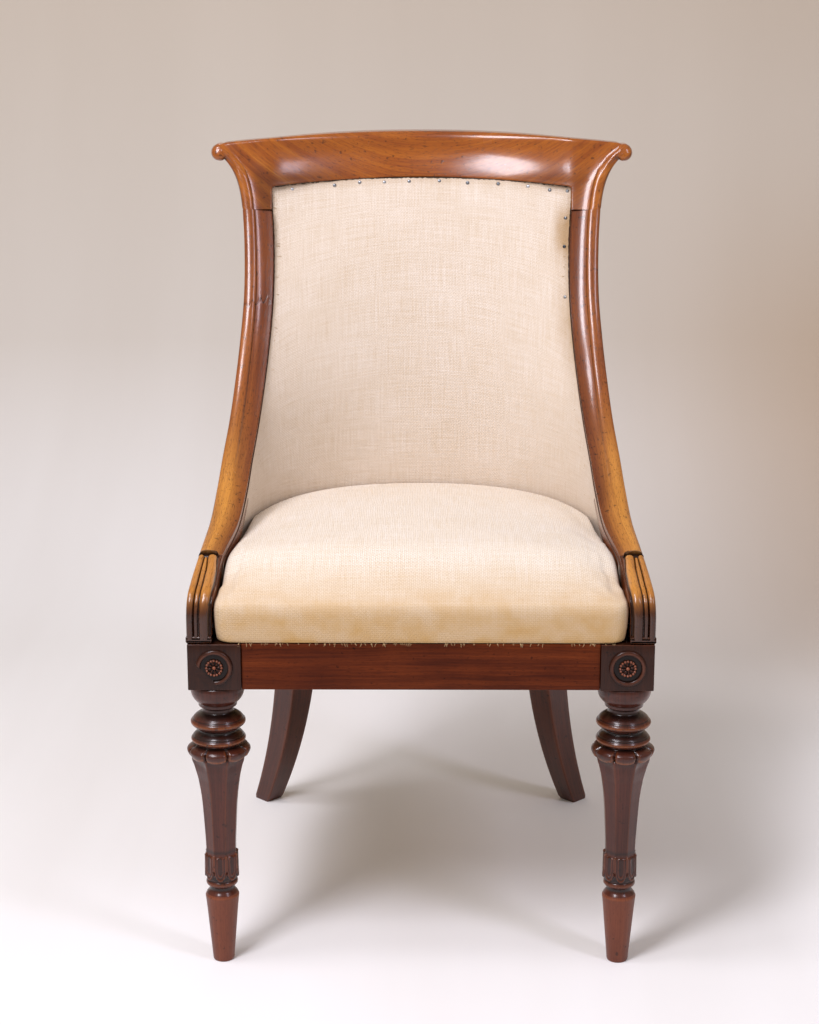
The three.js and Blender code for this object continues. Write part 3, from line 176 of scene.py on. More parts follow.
def prism(loop, low, high, arris, grain_along_x=True):
    """A board: its plan loop carried from low to high, drawn in by a quarter round at both ends."""
    ahead = np.roll(loop, -1, 0) - np.roll(loop, 1, 0)
    ahead /= np.linalg.norm(ahead, axis=1, keepdims=True)
    area = np.sum(loop[:, 0] * np.roll(loop[:, 1], -1) - np.roll(loop[:, 0], -1) * loop[:, 1])
    inward = np.stack([-ahead[:, 1], ahead[:, 0]], 1) * np.sign(area)
    turn = np.radians([90, 60, 30, 0])
    steps = [(low + arris * (1 - math.sin(a)), arris * (1 - math.cos(a))) for a in turn]
    steps += [(mix(low, high, s), 0) for s in (0.25, 0.5, 0.75)]
    steps += [(high - arris * (1 - math.sin(a)), arris * (1 - math.cos(a))) for a in turn[::-1]]
    closing = np.concatenate([loop, loop[:1]])
    pull = np.concatenate([inward, inward[:1]])
    length = run_over(closing)
    rows = []
    for z, inset in steps:
        p = closing + pull * inset
        u, v = (length, z) if grain_along_x else (z, length)
        rubbed = inset / max(arris, 1e-6) * (0 < inset < 0.9 * arris)
        rows.append(sheetwise(p[:, 0], p[:, 1], z, u, v, 0, rubbed))
    return capped(np.array(rows))


def rounded(x0, x1, y0, y1, radius, steps=5, edge=6):
    """A rectangle's loop with quarter rounds at its corners and a few points along each side."""
    points = []
    corners = [(x1, y1, 0), (x0, y1, 90), (x0, y0, 180), (x1, y0, 270)]
    for x, y, start in corners:
        middle = np.array([x - radius if x == x1 else x + radius, y - radius if y == y1 else y + radius])
        for a in np.radians(start + np.linspace(0, 90, steps + 1)):
            points.append(middle + radius * np.array([math.cos(a), math.sin(a)]))
    points = np.array(points)
    full = []
    for i, p in enumerate(points):
        full.append(p)
        q = points[(i + 1) % len(points)]
        if (i + 1) % (steps + 1) == 0:
            full += [mix(p, q, s) for s in np.linspace(0, 1, edge + 2)[1:-1]]
    return np.array(full)


# finishes

def tone(code):
    """An sRGB hex colour as linear red, green, blue and 1."""
    parts = [int(code[i : i + 2], 16) / 255 for i in (1, 3, 5)]
    return [c / 12.92 if c <= 0.04045 else ((c + 0.055) / 1.055) ** 2.4 for c in parts] + [1]


def add(tree, kind, *inputs, out=0, named=(), stops=(), **settings):
    """Adds a shader node, sets or links its inputs in order or by name, and gives one output."""
    node = tree.nodes.new("ShaderNode" + kind)
    for key, value in settings.items():
        setattr(node, key, value)
    if stops:
        ramp = node.color_ramp.elements
        while len(ramp) < len(stops):
            ramp.new(0.5)
        for element, (place, colour) in zip(ramp, stops):
            element.position = place
            element.color = tone(colour)
    for key, value in list(enumerate(inputs)) + list(dict(named).items()):
        if value is None:
            continue
        if isinstance(value, bpy.types.NodeSocket):
            tree.links.new(value, node.inputs[key])
        else:
            node.inputs[key].default_value = value
    return node.outputs[out] if node.outputs else node


def new_finish(name):
    """An empty material with its node tree."""
    material = bpy.data.materials.new(name)
    material.use_nodes = True
    material.node_tree.nodes.clear()
    return material, material.node_tree


def wood(name, stops, worn_and_lit_tone, dirt_and_shade_tone, roughness, coat, pore=0.4, figure=0.0, bump=0.2, turn=None, shine=0.35):
    """Cut wood: streaks along the grain, bands, short pores, dirt and painted shade in hollows, and wear and
    painted highlights on arrises and raised parts.

    The grain runs along the first direction of the map named grain, or, on a piece that has
    none, along the Object coordinates turned by turn.
    """
    material, t = new_finish(name)
    place = add(t, "TexCoord", out=3)
    if turn is None:
        grain = add(t, "UVMap", uv_map="grain")
    else:
        grain = add(t, "Mapping", place, named={"Rotation": turn})
    wander = add(t, "Mapping", grain, named={"Scale": (7, 18, 18)})
    wander = add(t, "TexNoise", wander, named={"Scale": 1.0, "Detail": 2.0})
    sideways = add(t, "VectorMath", wander, (0.0, 0.010, 0.0), operation="MULTIPLY")
    bent = add(t, "VectorMath", grain, sideways, operation="ADD")
    # Mahogany fibre shows as streaks about half a millimetre wide, drawn 1.5 mm wide here.
    streaks = add(t, "Mapping", bent, named={"Scale": (11, 430, 430)})
    streaks = add(t, "TexNoise", streaks, named={"Scale": 1.0, "Detail": 4.0, "Roughness": 0.6})
    bands = add(t, "Mapping", bent, named={"Scale": (4, 62, 62), "Location": (0.3, 0.7, 0)})
    bands = add(t, "TexNoise", bands, named={"Scale": 1.0, "Detail": 3.0})
    clouds = add(t, "TexNoise", place, named={"Scale": 12.0, "Detail": 3.0})
    level = add(t, "Math", streaks, 0.46, operation="MULTIPLY")
    level = add(t, "Math", bands, 0.50 + figure, level, operation="MULTIPLY_ADD")
    level = add(t, "Math", clouds, 0.34, level, operation="MULTIPLY_ADD")
    level = add(t, "Math", level, 0.15 + figure / 2, operation="SUBTRACT")
    colour = add(t, "ValToRGB", level, stops=stops)
    # Rubbed places and painted highlights keep the grain: the lighter the streak, the more of it turns to the
    # worn and lit tone.
    wear_and_painted_light = add(t, "Attribute", attribute_name="wear_and_painted_light", out=2)
    patchy = add(t, "MapRange", level, 0.25, 0.7, 0.25, 1.0)
    rub_and_highlight = add(t, "Math", wear_and_painted_light, patchy, operation="MULTIPLY", use_clamp=True)
    colour = add(t, "Mix", named={"Factor": rub_and_highlight, 6: colour, 7: tone(worn_and_lit_tone)}, data_type="RGBA", out=2)
    # Open pores are dark dashes a few millimetres long.
    pores = add(t, "Mapping", bent, named={"Scale": (120, 1300, 1300)})
    pores = add(t, "TexNoise", pores, named={"Scale": 1.0, "Detail": 1.0})
    pores = add(t, "MapRange", pores, 0.60, 0.68, 0.0, pore)
    colour = add(t, "Mix", named={"Factor": pores, 6: colour, 7: tone(dirt_and_shade_tone)}, data_type="RGBA", out=2)
    # Small dents and scars hold old polish.
    dents = add(t, "TexNoise", place, named={"Scale": 170.0, "Detail": 2.0})
    dents = add(t, "MapRange", dents, 0.66, 0.72, 0.0, 0.6)
    colour = add(t, "Mix", named={"Factor": dents, 6: colour, 7: tone(dirt_and_shade_tone)}, data_type="RGBA", out=2)
    # Dirt, and painted shade in creases, grooves, notches and hollows, pull the colour towards the dark tone.
    dirt_and_shade = add(t, "Attribute", attribute_name="dirt_and_shade", out=2)
    dirt_and_shade = add(t, "Math", dirt_and_shade, 0.96, operation="MULTIPLY", use_clamp=True)
    colour = add(t, "Mix", named={"Factor": dirt_and_shade, 6: colour, 7: tone(dirt_and_shade_tone)}, data_type="RGBA", out=2)
    dull = add(t, "TexNoise", place, named={"Scale": 26.0, "Detail": 4.0})
    dull = add(t, "Math", dull, 0.16, roughness - 0.08, operation="MULTIPLY_ADD")
    height = add(t, "Math", pores, -0.7, streaks, operation="MULTIPLY_ADD")
    height = add(t, "Math", dents, -1.2, height, operation="MULTIPLY_ADD")
    relief = add(t, "Bump", named={"Strength": bump, "Distance": 0.0003, "Height": height})
    shader = add(t, "BsdfPrincipled", named={
        "Base Color": colour, "Roughness": dull, "IOR": 1.5, "Specular IOR Level": shine, "Normal": relief,
        "Coat Weight": coat, "Coat Roughness": 0.13, "Coat IOR": 1.5,
    })
    add(t, "OutputMaterial", shader)
    return material


def weave(name, light, shade, hole, spacing, stain_and_shade="#a98a5c", depth=0.5, open_share=0.4):
    """Plain woven jute: two sets of threads that pass over and under, uneven in width and tone.

    Each set is |sin| of its own place; a sine of the other set, turned by half a wave from
    thread to thread, lifts and drops it. Long noise along a thread gives its tone and slubs.
    """
    material, t = new_finish(name)
    cloth = add(t, "UVMap", uv_map="grain")
    body = add(t, "TexCoord", out=3)
    at = cloth
    # Threads wander by millimetres over a hand's breadth, and by tenths from one to the next.
    for scale, reach in ((11.0, 0.006), (170.0, 0.0012)):
        pull = add(t, "TexNoise", cloth, named={"Scale": scale, "Detail": 2.0}, out=1)
        pull = add(t, "VectorMath", pull, (0.5, 0.5, 0.5), operation="SUBTRACT")
        at = add(t, "VectorMath", pull, (reach, reach, 0), at, operation="MULTIPLY_ADD")
    at = add(t, "VectorMath", at, (1 / spacing, 1 / spacing, 1), operation="MULTIPLY")
    across = add(t, "SeparateXYZ", at)
    up = across.node.outputs[1]
    sets = []
    for line, other, stretch in ((across, up, (1.1, 0.035, 1)), (up, across, (0.035, 1.1, 1))):
        slub = add(t, "Mapping", at, named={"Scale": stretch})
        slub = add(t, "TexNoise", slub, named={"Scale": 1.0, "Detail": 3.0, "Roughness": 0.75})
        thread = add(t, "Math", line, math.pi, operation="MULTIPLY")
        thread = add(t, "Math", add(t, "Math", thread, operation="SINE"), operation="ABSOLUTE")
        parity = add(t, "Math", add(t, "Math", line, operation="FLOOR"), math.pi, operation="MULTIPLY")
        over = add(t, "Math", other, math.pi, parity, operation="MULTIPLY_ADD")
        over = add(t, "Math", add(t, "Math", over, operation="SINE"), 0.25, 0.75, operation="MULTIPLY_ADD")
        sets.append((slub, add(t, "Math", thread, over, operation="MULTIPLY")))
    height = add(t, "Math", sets[0][1], sets[1][1], operation="MAXIMUM")
    slubs = add(t, "Math", sets[0][0], sets[1][0], operation="ADD")
    patches = add(t, "TexNoise", body, named={"Scale": 13.0, "Detail": 4.0})
    level = add(t, "Math", patches, 0.5, -1.35, operation="MULTIPLY_ADD")
    level = add(t, "Math", slubs, 1.6, level, operation="MULTIPLY_ADD", use_clamp=True)
    colour = add(t, "Mix", named={"Factor": level, 6: tone(shade), 7: tone(light)}, data_type="RGBA", out=2)
    fuzz = add(t, "TexNoise", cloth, named={"Scale": 420.0, "Detail": 2.0})
    lowered = add(t, "Math", height, 0.25, operation="SUBTRACT")
    gaps = add(t, "Math", fuzz, 0.5, lowered, operation="MULTIPLY_ADD")
    gaps = add(t, "MapRange", gaps, 0.25, 0.65, open_share, 0.0)
    colour = add(t, "Mix", named={"Factor": gaps, 6: colour, 7: tone(hole)}, data_type="RGBA", out=2)
    # Stains and painted shade: the first mark, broken up by blots, pulls the cloth towards the stain and
    # shade tone; on the seat it darkens the front wall as shade.
    dirt_and_shade = add(t, "Attribute", attribute_name="dirt_and_shade", out=2)
    blots = add(t, "TexNoise", body, named={"Scale": 34.0, "Detail": 5.0})
    blots = add(t, "MapRange", blots, 0.4, 0.65, 0.75, 1.0)
    spoilt_and_shaded = add(t, "Math", dirt_and_shade, blots, operation="MULTIPLY", use_clamp=True)
    colour = add(t, "Mix", named={"Factor": spoilt_and_shaded, 6: colour, 7: tone(stain_and_shade)}, data_type="RGBA", out=2)
    # On cloth the second mark is the frayed rim along the wood, painted dark as the shade in the gap there.
    rim = add(t, "Attribute", attribute_name="wear_and_painted_light", out=2)
    tears = add(t, "TexNoise", body, named={"Scale": 230.0, "Detail": 3.0})
    rim = add(t, "Math", tears, 0.34, rim, operation="MULTIPLY_ADD")
    rim = add(t, "MapRange", rim, 1.06, 1.11, 0.0, 0.9)
    colour = add(t, "Mix", named={"Factor": rim, 6: colour, 7: tone("#2c1a10")}, data_type="RGBA", out=2)
    bumps = add(t, "Math", slubs, 0.5, height, operation="MULTIPLY_ADD")
    relief = add(t, "Bump", named={"Strength": depth, "Distance": spacing * 0.4, "Height": bumps})
    shader = add(t, "BsdfPrincipled", named={
        "Base Color": colour, "Roughness": 0.92, "Specular IOR Level": 0.2, "Normal": relief,
        "Sheen Weight": 0.1, "Sheen Roughness": 0.5,
    })
    add(t, "OutputMaterial", shader)
    return material


# Polished crest mahogany: French polish over figured wood, orange with red-brown streaks.
crest_stops = [(0.2, "#5a270f"), (0.42, "#83400f"), (0.6, "#9c5514"), (0.82, "#bd7a26")]
crest_mahogany = wood(
    "french_polished_crest_mahogany", crest_stops, "#b0681f", "#2a1208", 0.25, 0.5, pore=0.6, figure=0.16
)
# The stiles' mahogany: the same polish, golden on the bead from wear and a painted highlight, redder and
# darker in the hollow partly by painted shade.
stile_stops = [(0.2, "#4a200d"), (0.42, "#743614"), (0.6, "#8a4719"), (0.82, "#a8632a")]
stile_mahogany = wood(
    "french_polished_stile_mahogany", stile_stops, "#d6953f", "#1c0c06", 0.25, 0.5, pore=0.7, figure=0.1
)
# Old dark polish on the turned legs: nearly black in the recesses from dirt and painted shade, rubbed to
# red-brown on the edges.
leg_stops = [(0.25, "#2c120b"), (0.45, "#441d12"), (0.62, "#572719"), (0.85, "#70361f")]
leg_mahogany = wood("old_polished_leg_mahogany", leg_stops, "#93501f", "#0e0604", 0.30, 0.35, shine=0.25)
# The turned feet: the same wood with its polish worn thin, redder and duller.
foot_stops = [(0.25, "#4a1f12"), (0.45, "#64301c"), (0.62, "#743a22"), (0.85, "#8a4c2c")]
foot_mahogany = wood("worn_polish_foot_mahogany", foot_stops, "#8c4e2c", "#1c0c07", 0.42, 0.12)
# The back legs: the legs' wood with less light and less rubbing.
sabre_mahogany = wood("old_polished_sabre_mahogany", leg_stops, "#7c4326", "#0e0604", 0.36, 0.2)
# Dark red-brown polish on the rails, plainly figured along its length.
rail_stops = [(0.2, "#2c0f06"), (0.42, "#4c1d0a"), (0.62, "#662c10"), (0.85, "#8c4a20")]
rail_mahogany = wood(
    "old_polished_rail_mahogany", rail_stops, "#7c3d1c", "#120604", 0.38, 0.0, figure=0.3, shine=0.1
)
block_stops = [(0.22, "#1c0b05"), (0.45, "#2e140a"), (0.62, "#3c1d10"), (0.85, "#552c18")]
block_mahogany = wood(
    "dark_polished_block_mahogany", block_stops, "#a8644a", "#080302", 0.30, 0.12, shine=0.2
)
# Planed beech, never polished: pale with fine flecks. One board lies along X, the other stands.
beech_stops = [(0.2, "#9c7447"), (0.45, "#b48a5a"), (0.65, "#c29a6a"), (0.85, "#d0ab7c")]
lying_beech = wood(
    "planed_beech_lying", beech_stops, "#cda873", "#6f5030", 0.62, 0.0, bump=0.5, turn=(0, 0, 0)
)
standing_beech = wood(
    "planed_beech_standing", beech_stops, "#cda873", "#6f5030", 0.62, 0.0, bump=0.5, turn=(0, math.pi / 2, 0)
)
# Real threads lie 1.4 mm apart; they are drawn 2 mm apart, so that the weave shows at this size.
seat_hessian = weave(
    "woven_hessian_seat", "#efe7dd", "#e0d0b8", "#80603a", 0.0021, stain_and_shade="#c29b62", open_share=0.55
)
back_hessian = weave(
    "woven_hessian_back", "#e4d8cc", "#d0bda6", "#927650", 0.0019, stain_and_shade="#a07c4a", open_share=0.34
)
deck_hessian = weave("woven_hessian_deck", "#c9ae84", "#a98b5f", "#5e4526", 0.0020)
jute_webbing = weave("woven_jute_webbing", "#c8a878", "#9d7c4d", "#5b4222", 0.0028, stain_and_shade="#6a3b22")


def plain_metal(name, dark, light, roughness, scale):
    """Bare metal with cloudy tarnish between two tones."""
    material, t = new_finish(name)
    clouds = add(t, "TexNoise", add(t, "TexCoord", out=3), named={"Scale": scale, "Detail": 2.0})
    cloudy = add(t, "MapRange", clouds, 0.35, 0.65, 0.0, 1.0)
    colour = add(t, "Mix", named={"Factor": cloudy, 6: tone(dark), 7: tone(light)}, data_type="RGBA", out=2)
    dull = add(t, "Math", clouds, 0.2, roughness - 0.1, operation="MULTIPLY_ADD")
    shader = add(t, "BsdfPrincipled", named={"Base Color": colour, "Roughness": dull, "Metallic": 1.0})
    add(t, "OutputMaterial", shader)
    return material


# Coppered spring wire, dulled with age.
spring_steel = plain_metal("tarnished_spring_wire", "#5b4a3d", "#9a8874", 0.42, 300.0)
# Blued iron tack heads, some dark and some rubbed bright.
tack_iron = plain_metal("blued_tack_iron", "#4a4f58", "#d5d8de", 0.34, 60.0)

# driving sizes, as the frame's source has them

fit_gap = 0.3
block_half = 29.5
block_x = 227.3
leg_height = 336.0
rail_top = 389.0
knee_pulls = [(-26.2, 418), (-26.2, 440), (-15, 444), (0, 448)]
sweep_pulls = [(0, 448), (220, 505), (385, 600), (452, 850)]
stile_widths = [29.2, 27, 32.6, 34.6, 35, 35.2, 35.8, 36.2, 36.2, 36.6, 37]
stile_half_widths = [255.2, 250.8, 244.6, 241.8, 239.2, 234.8, 231, 227.2, 224.2, 225.2, 229.4]
stile_depth = 30.0
joint_share = 0.955
cuff_share = 0.097
cove_depth, cove_power = 4.0, 2.8
terminal_outer = 257.4
terminal_width = 27.6
terminal_face = 26.2
plinth_x = 243.7
plinth_half = 14.3
plinth_back = 22.5
cloth_foot = 389.3
crest_under_middle, crest_under_corner = 853.9, 845.3
crest_top_middle, crest_top_end = 911.6, 899.2
crest_half = 190.0
volute_x, volute_z, volute_radius = 257.8, 887.9, 10.6
frame_depth = 470.0
side_rail_out = 253.8


def sweep_point(share, depth=0.0):
    """The stile's face in side view as Y and Z, moved under the face by depth square to it."""
    p, way = bezier(sweep_pulls, share), bezier_way(sweep_pulls, share)
    return p[..., 0] + way[..., 1] * depth, p[..., 1] - way[..., 0] * depth


def stile_outer(share):
    """The stile's outer edge, as a distance from the middle of the chair."""
    return along(stile_half_widths, share)


def stile_inner(share):
    """The stile's inner edge, as a distance from the middle of the chair."""
    return stile_outer(share) - along(stile_widths, share)


# The centre curve of the stile's face: upright, round the knee, then along the sweep.
upright = np.stack([np.full(20, -terminal_face), np.linspace(rail_top + 5, 418, 20)], 1)
fine = np.linspace(0, 1, 400)
sweep_fine = np.linspace(0, 1, 4000)
curve = np.concatenate([upright[:-1], bezier(knee_pulls, fine)[:-1], bezier(sweep_pulls, sweep_fine)])
curve_ways = np.concatenate([
    np.tile([0.0, 1.0], (19, 1)), bezier_way(knee_pulls, fine)[:-1], bezier_way(sweep_pulls, sweep_fine),
])
curve_shares = np.concatenate([np.linspace(-2, -1, 20)[:-1], np.linspace(-1, 0, 400)[:-1], sweep_fine])
curve_run = run_over(curve)


def ride_curve(run):
    """Place, way and share of the stile's centre curve at a run along it, in millimetres."""
    read = lambda column: np.interp(run, curve_run, column)
    way = np.stack([read(curve_ways[:, 0]), read(curve_ways[:, 1])], -1)
    way /= np.linalg.norm(way, axis=-1, keepdims=True)
    return np.stack([read(curve[:, 0]), read(curve[:, 1])], -1), way, read(curve_shares)


cuff_run = float(np.interp(cuff_share, curve_shares, curve_run))
joint_run = float(np.interp(joint_share, curve_shares, curve_run))


def bead_share(share):
    """How much of the stile's width is the round bead: more near the terminal than at the crest."""
    return np.interp(share, [0, cuff_share, 0.3, 0.6, 1], [0.7, 0.64, 0.52, 0.44, 0.41])


def stile_face(run, share, across):
    """Height of the stile's face, with its dirt and painted shade, and its wear and painted highlight.

    Above the cuff a half-ellipse bead lies outside, and beside it a cove that is steep at the
    bead and runs out level at the inner edge: 1 minus (1 - t) to a power. Below the cuff are two
    broad reeds with a thin one between, each a superellipse, and a hollowed flat at the inner
    edge. The cuff is a thin rim over a groove, turned down at both ends.
    """
    bead = bead_share(share)
    rise = 3.6 + 2.0 * smooth((0.4 - share) / 0.3)
    inward = np.clip((across - bead) / (1 - bead), 0, 1)
    cove = -cove_depth * (1 - (1 - inward) ** cove_power)
    outside = rise * dome(2 * across / bead - 1)
    crisp = np.where(across < bead, outside, cove)
    # Lower down the crease fades, and the bead runs out inwards in half a cosine wave.
    falling = np.clip((across - bead / 2) / (0.96 - bead / 2), 0, 1)
    soft = np.where(across < bead / 2, outside, rise * (0.5 + 0.5 * np.cos(np.pi * falling)))
    plain = mix(soft, crisp, smooth((share - 0.2) / 0.34))
    # Painted shade: a dark line along the crease between the bead and the cove.
    crease = hump(across, bead, 0.016) * smooth((share - 0.25) / 0.35)
    drop = np.clip((cuff_run - run) / 55, 0, 1)
    edges = [
        0 * drop, mix(0.27, 0.29, drop), mix(0.40, 0.49, smooth(drop * 1.6)),
        mix(0.80, 0.91, smooth(drop * 1.4)), 1 + 0 * drop,
    ]
    reeds = np.full(np.broadcast(run, across).shape, -1.4)
    groove = np.zeros_like(reeds)
    for i, height in enumerate((3.8, 2.6, 4.2, 0.4)):
        low, high = edges[i], edges[i + 1]
        local = 2 * (across - low) / (high - low) - 1
        inside = np.abs(local) <= 1
        end = cuff_run - 2.6 - (2.2 * local**2 if i in (0, 2) else 3.5)
        tip = np.sqrt(np.clip(1 - np.clip((run - end + 3) / 3, 0, 1) ** 2, 0, 1))
        form = (1 - np.abs(np.clip(local, -1, 1)) ** 2.6) ** (1 / 2.2)
        if i == 3:
            form = 1 - 0.8 * np.sin(np.pi * np.clip((local + 1) / 2, 0, 1))
            tip = np.ones_like(tip)
        reeds = np.where(inside, np.maximum(-1.4 + (height + 1.4) * form * tip, -1.4), reeds)
        if i < 3:
            # Painted shade in the grooves between the reeds.
            groove = np.maximum(groove, hump(across, high, 0.024))
            groove = np.maximum(groove, np.where(inside, smooth((run - end + 1.2) / 1.2), 0))
    below = run < cuff_run
    height = np.where(below, reeds, plain)
    # The rim bends down by 4 mm at the two ends of the bead's width.
    bent = run - cuff_run - 0.9 + 4.5 * np.clip(np.abs(2 * across / 0.84 - 1) - 0.72, 0, 1) ** 2 * 12
    band = hump(bent, 0, 1.25) * (across < 0.85)
    base = rise * 0.75 * dome(np.clip(2 * across / 0.85 - 1, -1, 1))
    height = np.where(band > 0.02, np.maximum(height, mix(height, base + 1.8, band)), height)
    low_dark = smooth((56 - run) / 32)
    # Painted shade in the groove under the cuff's rim.
    under = hump(run, cuff_run - 2.4, 1.4) * (across < 0.86)
    dirt_and_shade = np.where(below, groove, 0.42 * crease)
    dirt_and_shade = dirt_and_shade + 0.86 * low_dark + np.where(below, under, 0) + 0.85 * band
    # The cove is darkened, partly as painted shade on its inward-facing face.
    dirt_and_shade = dirt_and_shade + 0.3 * smooth((across - bead + 0.12) / 0.5) * (run > cuff_run)
    # Painted shade on the hollowed flat at the inner edge below the cuff, beside the seat.
    dirt_and_shade = dirt_and_shade + np.where(below, 0.55 * (across > edges[3]), 0)
    # Golden on the bead and on the reed tops: partly rubbed polish, partly a painted highlight of light from
    # above.
    golden = hump(across, bead * 0.5, bead * 0.75) * (0.1 + 0.85 * smooth((0.6 - share) / 0.35))
    wear_and_painted_light = np.where(below, 0.8 * (1 - low_dark) * (height > 1.0), golden)
    return height, np.clip(dirt_and_shade, 0, 1), np.clip(wear_and_painted_light, 0, 1)


def stile_shells(hand):
    """The sweep with its terminal, and the plinth and heel it stands on, for one side."""
    run = np.concatenate([
        np.linspace(0, cuff_run - 9, 46), np.linspace(cuff_run - 9, cuff_run + 6, 30)[1:],
        np.linspace(cuff_run + 6, joint_run - 0.1, 250)[1:],
    ])[:, None]
    at, way, share = ride_curve(run[:, 0])
    at, way, share = at[:, None, :], way[:, None, :], share[:, None]
    swept = np.maximum(share, 0)
    round_knee = np.clip(share + 1, 0, 1)
    outer = np.where(share < 0, mix(terminal_outer, stile_half_widths[0], round_knee), stile_outer(swept))
    width = np.where(share < 0, mix(terminal_width, stile_widths[0], round_knee), along(stile_widths, swept))
    across = np.concatenate([np.linspace(0, 0.06, 5)[:-1], np.linspace(0.06, 0.98, 62), [0.993, 1.0]])
    across = across[None, :]
    height, dirt_and_shade, wear_and_painted_light = stile_face(run, share, across)
    height[:, -1] -= 0.7
    height[:, -2] -= 0.2
    if hand < 0:
        # An old break in the left stile, filled and stained darker.
        crack = hump(at[..., 1], 700 + 14 * across + 3 * np.sin(25 * across), 0.9) * (across < 0.8)
        dirt_and_shade = np.clip(dirt_and_shade + 0.9 * crack, 0, 1)
        height = height - 0.35 * crack
    # The sides and the back, as the share across and the depth under the face.
    back = np.array([
        (1, -2), (1, -8), (1, -19), (1, -26), (0.985, -28.4), (0.94, -29.7), (0.7, -30.3), (0.5, -30.5),
        (0.3, -30.3), (0.06, -29.7), (0.015, -28.4), (0, -26), (0, -19), (0, -8), (0, -2),
    ])
    back_across = back[None, :, 0]
    back_height = np.repeat(back[None, :, 1], len(run), 0)
    all_across = np.concatenate([np.repeat(across, len(run), 0), np.repeat(back_across, len(run), 0)], 1)
    n = np.concatenate([height, back_height], 1)
    dirt_and_shade = np.concatenate([dirt_and_shade, np.full_like(back_height, 0.12)], 1)
    wear_and_painted_light = np.concatenate([wear_and_painted_light, np.zeros_like(back_height)], 1)
    x = outer - all_across * width
    y = at[..., 0] - way[..., 1] * n
    z = at[..., 1] + way[..., 0] * n
    girth = np.cumsum(np.concatenate([[0], np.abs(np.diff(all_across[0])) * 33 + np.abs(np.diff(n[-1]))]))
    # The right stile is cut from the board beside the left one.
    girth = girth + 40 * (hand > 0)
    shell = sheetwise(x, y, z, np.repeat(run, x.shape[1], 1), girth[None, :], dirt_and_shade, wear_and_painted_light)
    closing = shell[:, :1].copy()
    closing[..., 4] = girth[-1] + 3
    body = capped(np.concatenate([shell, closing], 1))
    return [body, plinth_shell(), heel_shell()]


def plinth_shell():
    """The terminal's plinth: a flat block with a round top edge over a small step."""
    loop = rounded(plinth_x - plinth_half, plinth_x + plinth_half, -terminal_face - 3.2, plinth_back, 1.2)
    shell = prism(loop, rail_top + fit_gap, rail_top + 9.4, 3.8)
    shell[..., 5] = 0.85
    shell[..., 6] = 0
    return shell


def heel_shell():
    """The bracket behind the terminal: loops from the plinth up a hollow curve to the sweep's underside."""
    s = np.linspace(0, 1, 20)
    top_y, top_z = sweep_point(np.array(0.1), 24.0)
    pull_z = sweep_point(np.array(0.05), 15.0)[1]
    back_y = mix(plinth_back, mix(plinth_back, top_y, s), s)
    z = mix(mix(rail_top + 5, pull_z, s), mix(pull_z, top_z, s), s)
    half = terminal_width / 2 - 2
    rows = []
    for y1, height in zip(back_y, z):
        y0 = max(-11.0, float(np.interp(height, [418, 440, 456], [-11, 0, 20])))
        loop = rounded(plinth_x - half, plinth_x + half, min(y0, y1 - 6), y1, 2.0, 3, 2)
        loop = np.concatenate([loop, loop[:1]])
        rows.append(sheetwise(loop[:, 0], loop[:, 1], height, height, np.arange(len(loop)) * 3.0, 0.45, 0))
    return capped(np.array(rows))


# crest rail

joint_z = float(sweep_point(np.array(joint_share), stile_depth / 2)[1])
joint_way = bezier_way(sweep_pulls, np.array(joint_share))
joint_outer = float(stile_outer(np.array(joint_share)))
joint_inner = float(stile_inner(np.array(joint_share)))
flare_turn = -0.7 * math.pi
flare_start = (
    volute_x + volute_radius * math.cos(flare_turn), volute_z + volute_radius * math.sin(flare_turn),
)
flare_pulls = [
    flare_start, (joint_outer + 11.7, volute_z - 21.2),
    (joint_outer + 1.06, crest_under_corner), (joint_outer, joint_z - 14),
]


def crest_top(x):
    """The top edge: a fall with the 2.2nd power of the share of the half length."""
    return mix(crest_top_middle, crest_top_end, np.minimum(np.abs(x) / volute_x, 1) ** 2.2)


def crest_under(x):
    """The under edge: a fall with the square of the share of the half opening."""
    return mix(crest_under_middle, crest_under_corner, np.minimum(np.abs(x) / crest_half, 1) ** 2)


def crest_plain(x, z):
    """The face without its bead: the sweep's lean, a bow in plan, a hollow section and a rolled top."""
    lean = (sweep_pulls[3][0] - sweep_pulls[2][0]) / (sweep_pulls[3][1] - sweep_pulls[2][1])
    swept = bezier(sweep_pulls, sweep_fine)
    edge = np.where(z < 850, np.interp(z, swept[:, 1], swept[:, 0]), 452 + (z - 850) * lean)
    bow = 1 - (x / crest_half) ** 2
    bowed = 48 * (bow + np.hypot(bow, 0.12)) / 2
    up = (z - crest_under_middle) / (crest_top_middle - crest_under_middle)
    scoop = 3.2 * np.sin(np.pi * np.clip(up, 0, 1)) ** 2 * smooth((volute_x - 6 - np.abs(x)) / 40)
    return edge + bowed + scoop + 9 * smooth((up - 0.8) / 0.3) ** 2


# The bead's middle line in front view: up the flare and over the top of the volute.
bead_pulls = [
    (joint_outer - 7.7, joint_z - 30), (joint_outer - 7.7, crest_under_corner),
    (joint_outer + 1, volute_z - 14), (volute_x - 4.5, volute_z + 2.5),
]
bead_line = bezier(bead_pulls, np.linspace(0, 1, 90))
bead_half = np.linspace(7.7, 6.4, 90)
bead_rise = np.linspace(3.6, 5.0, 90)
figure_sag, figure_middle = 0.0019, 12.0


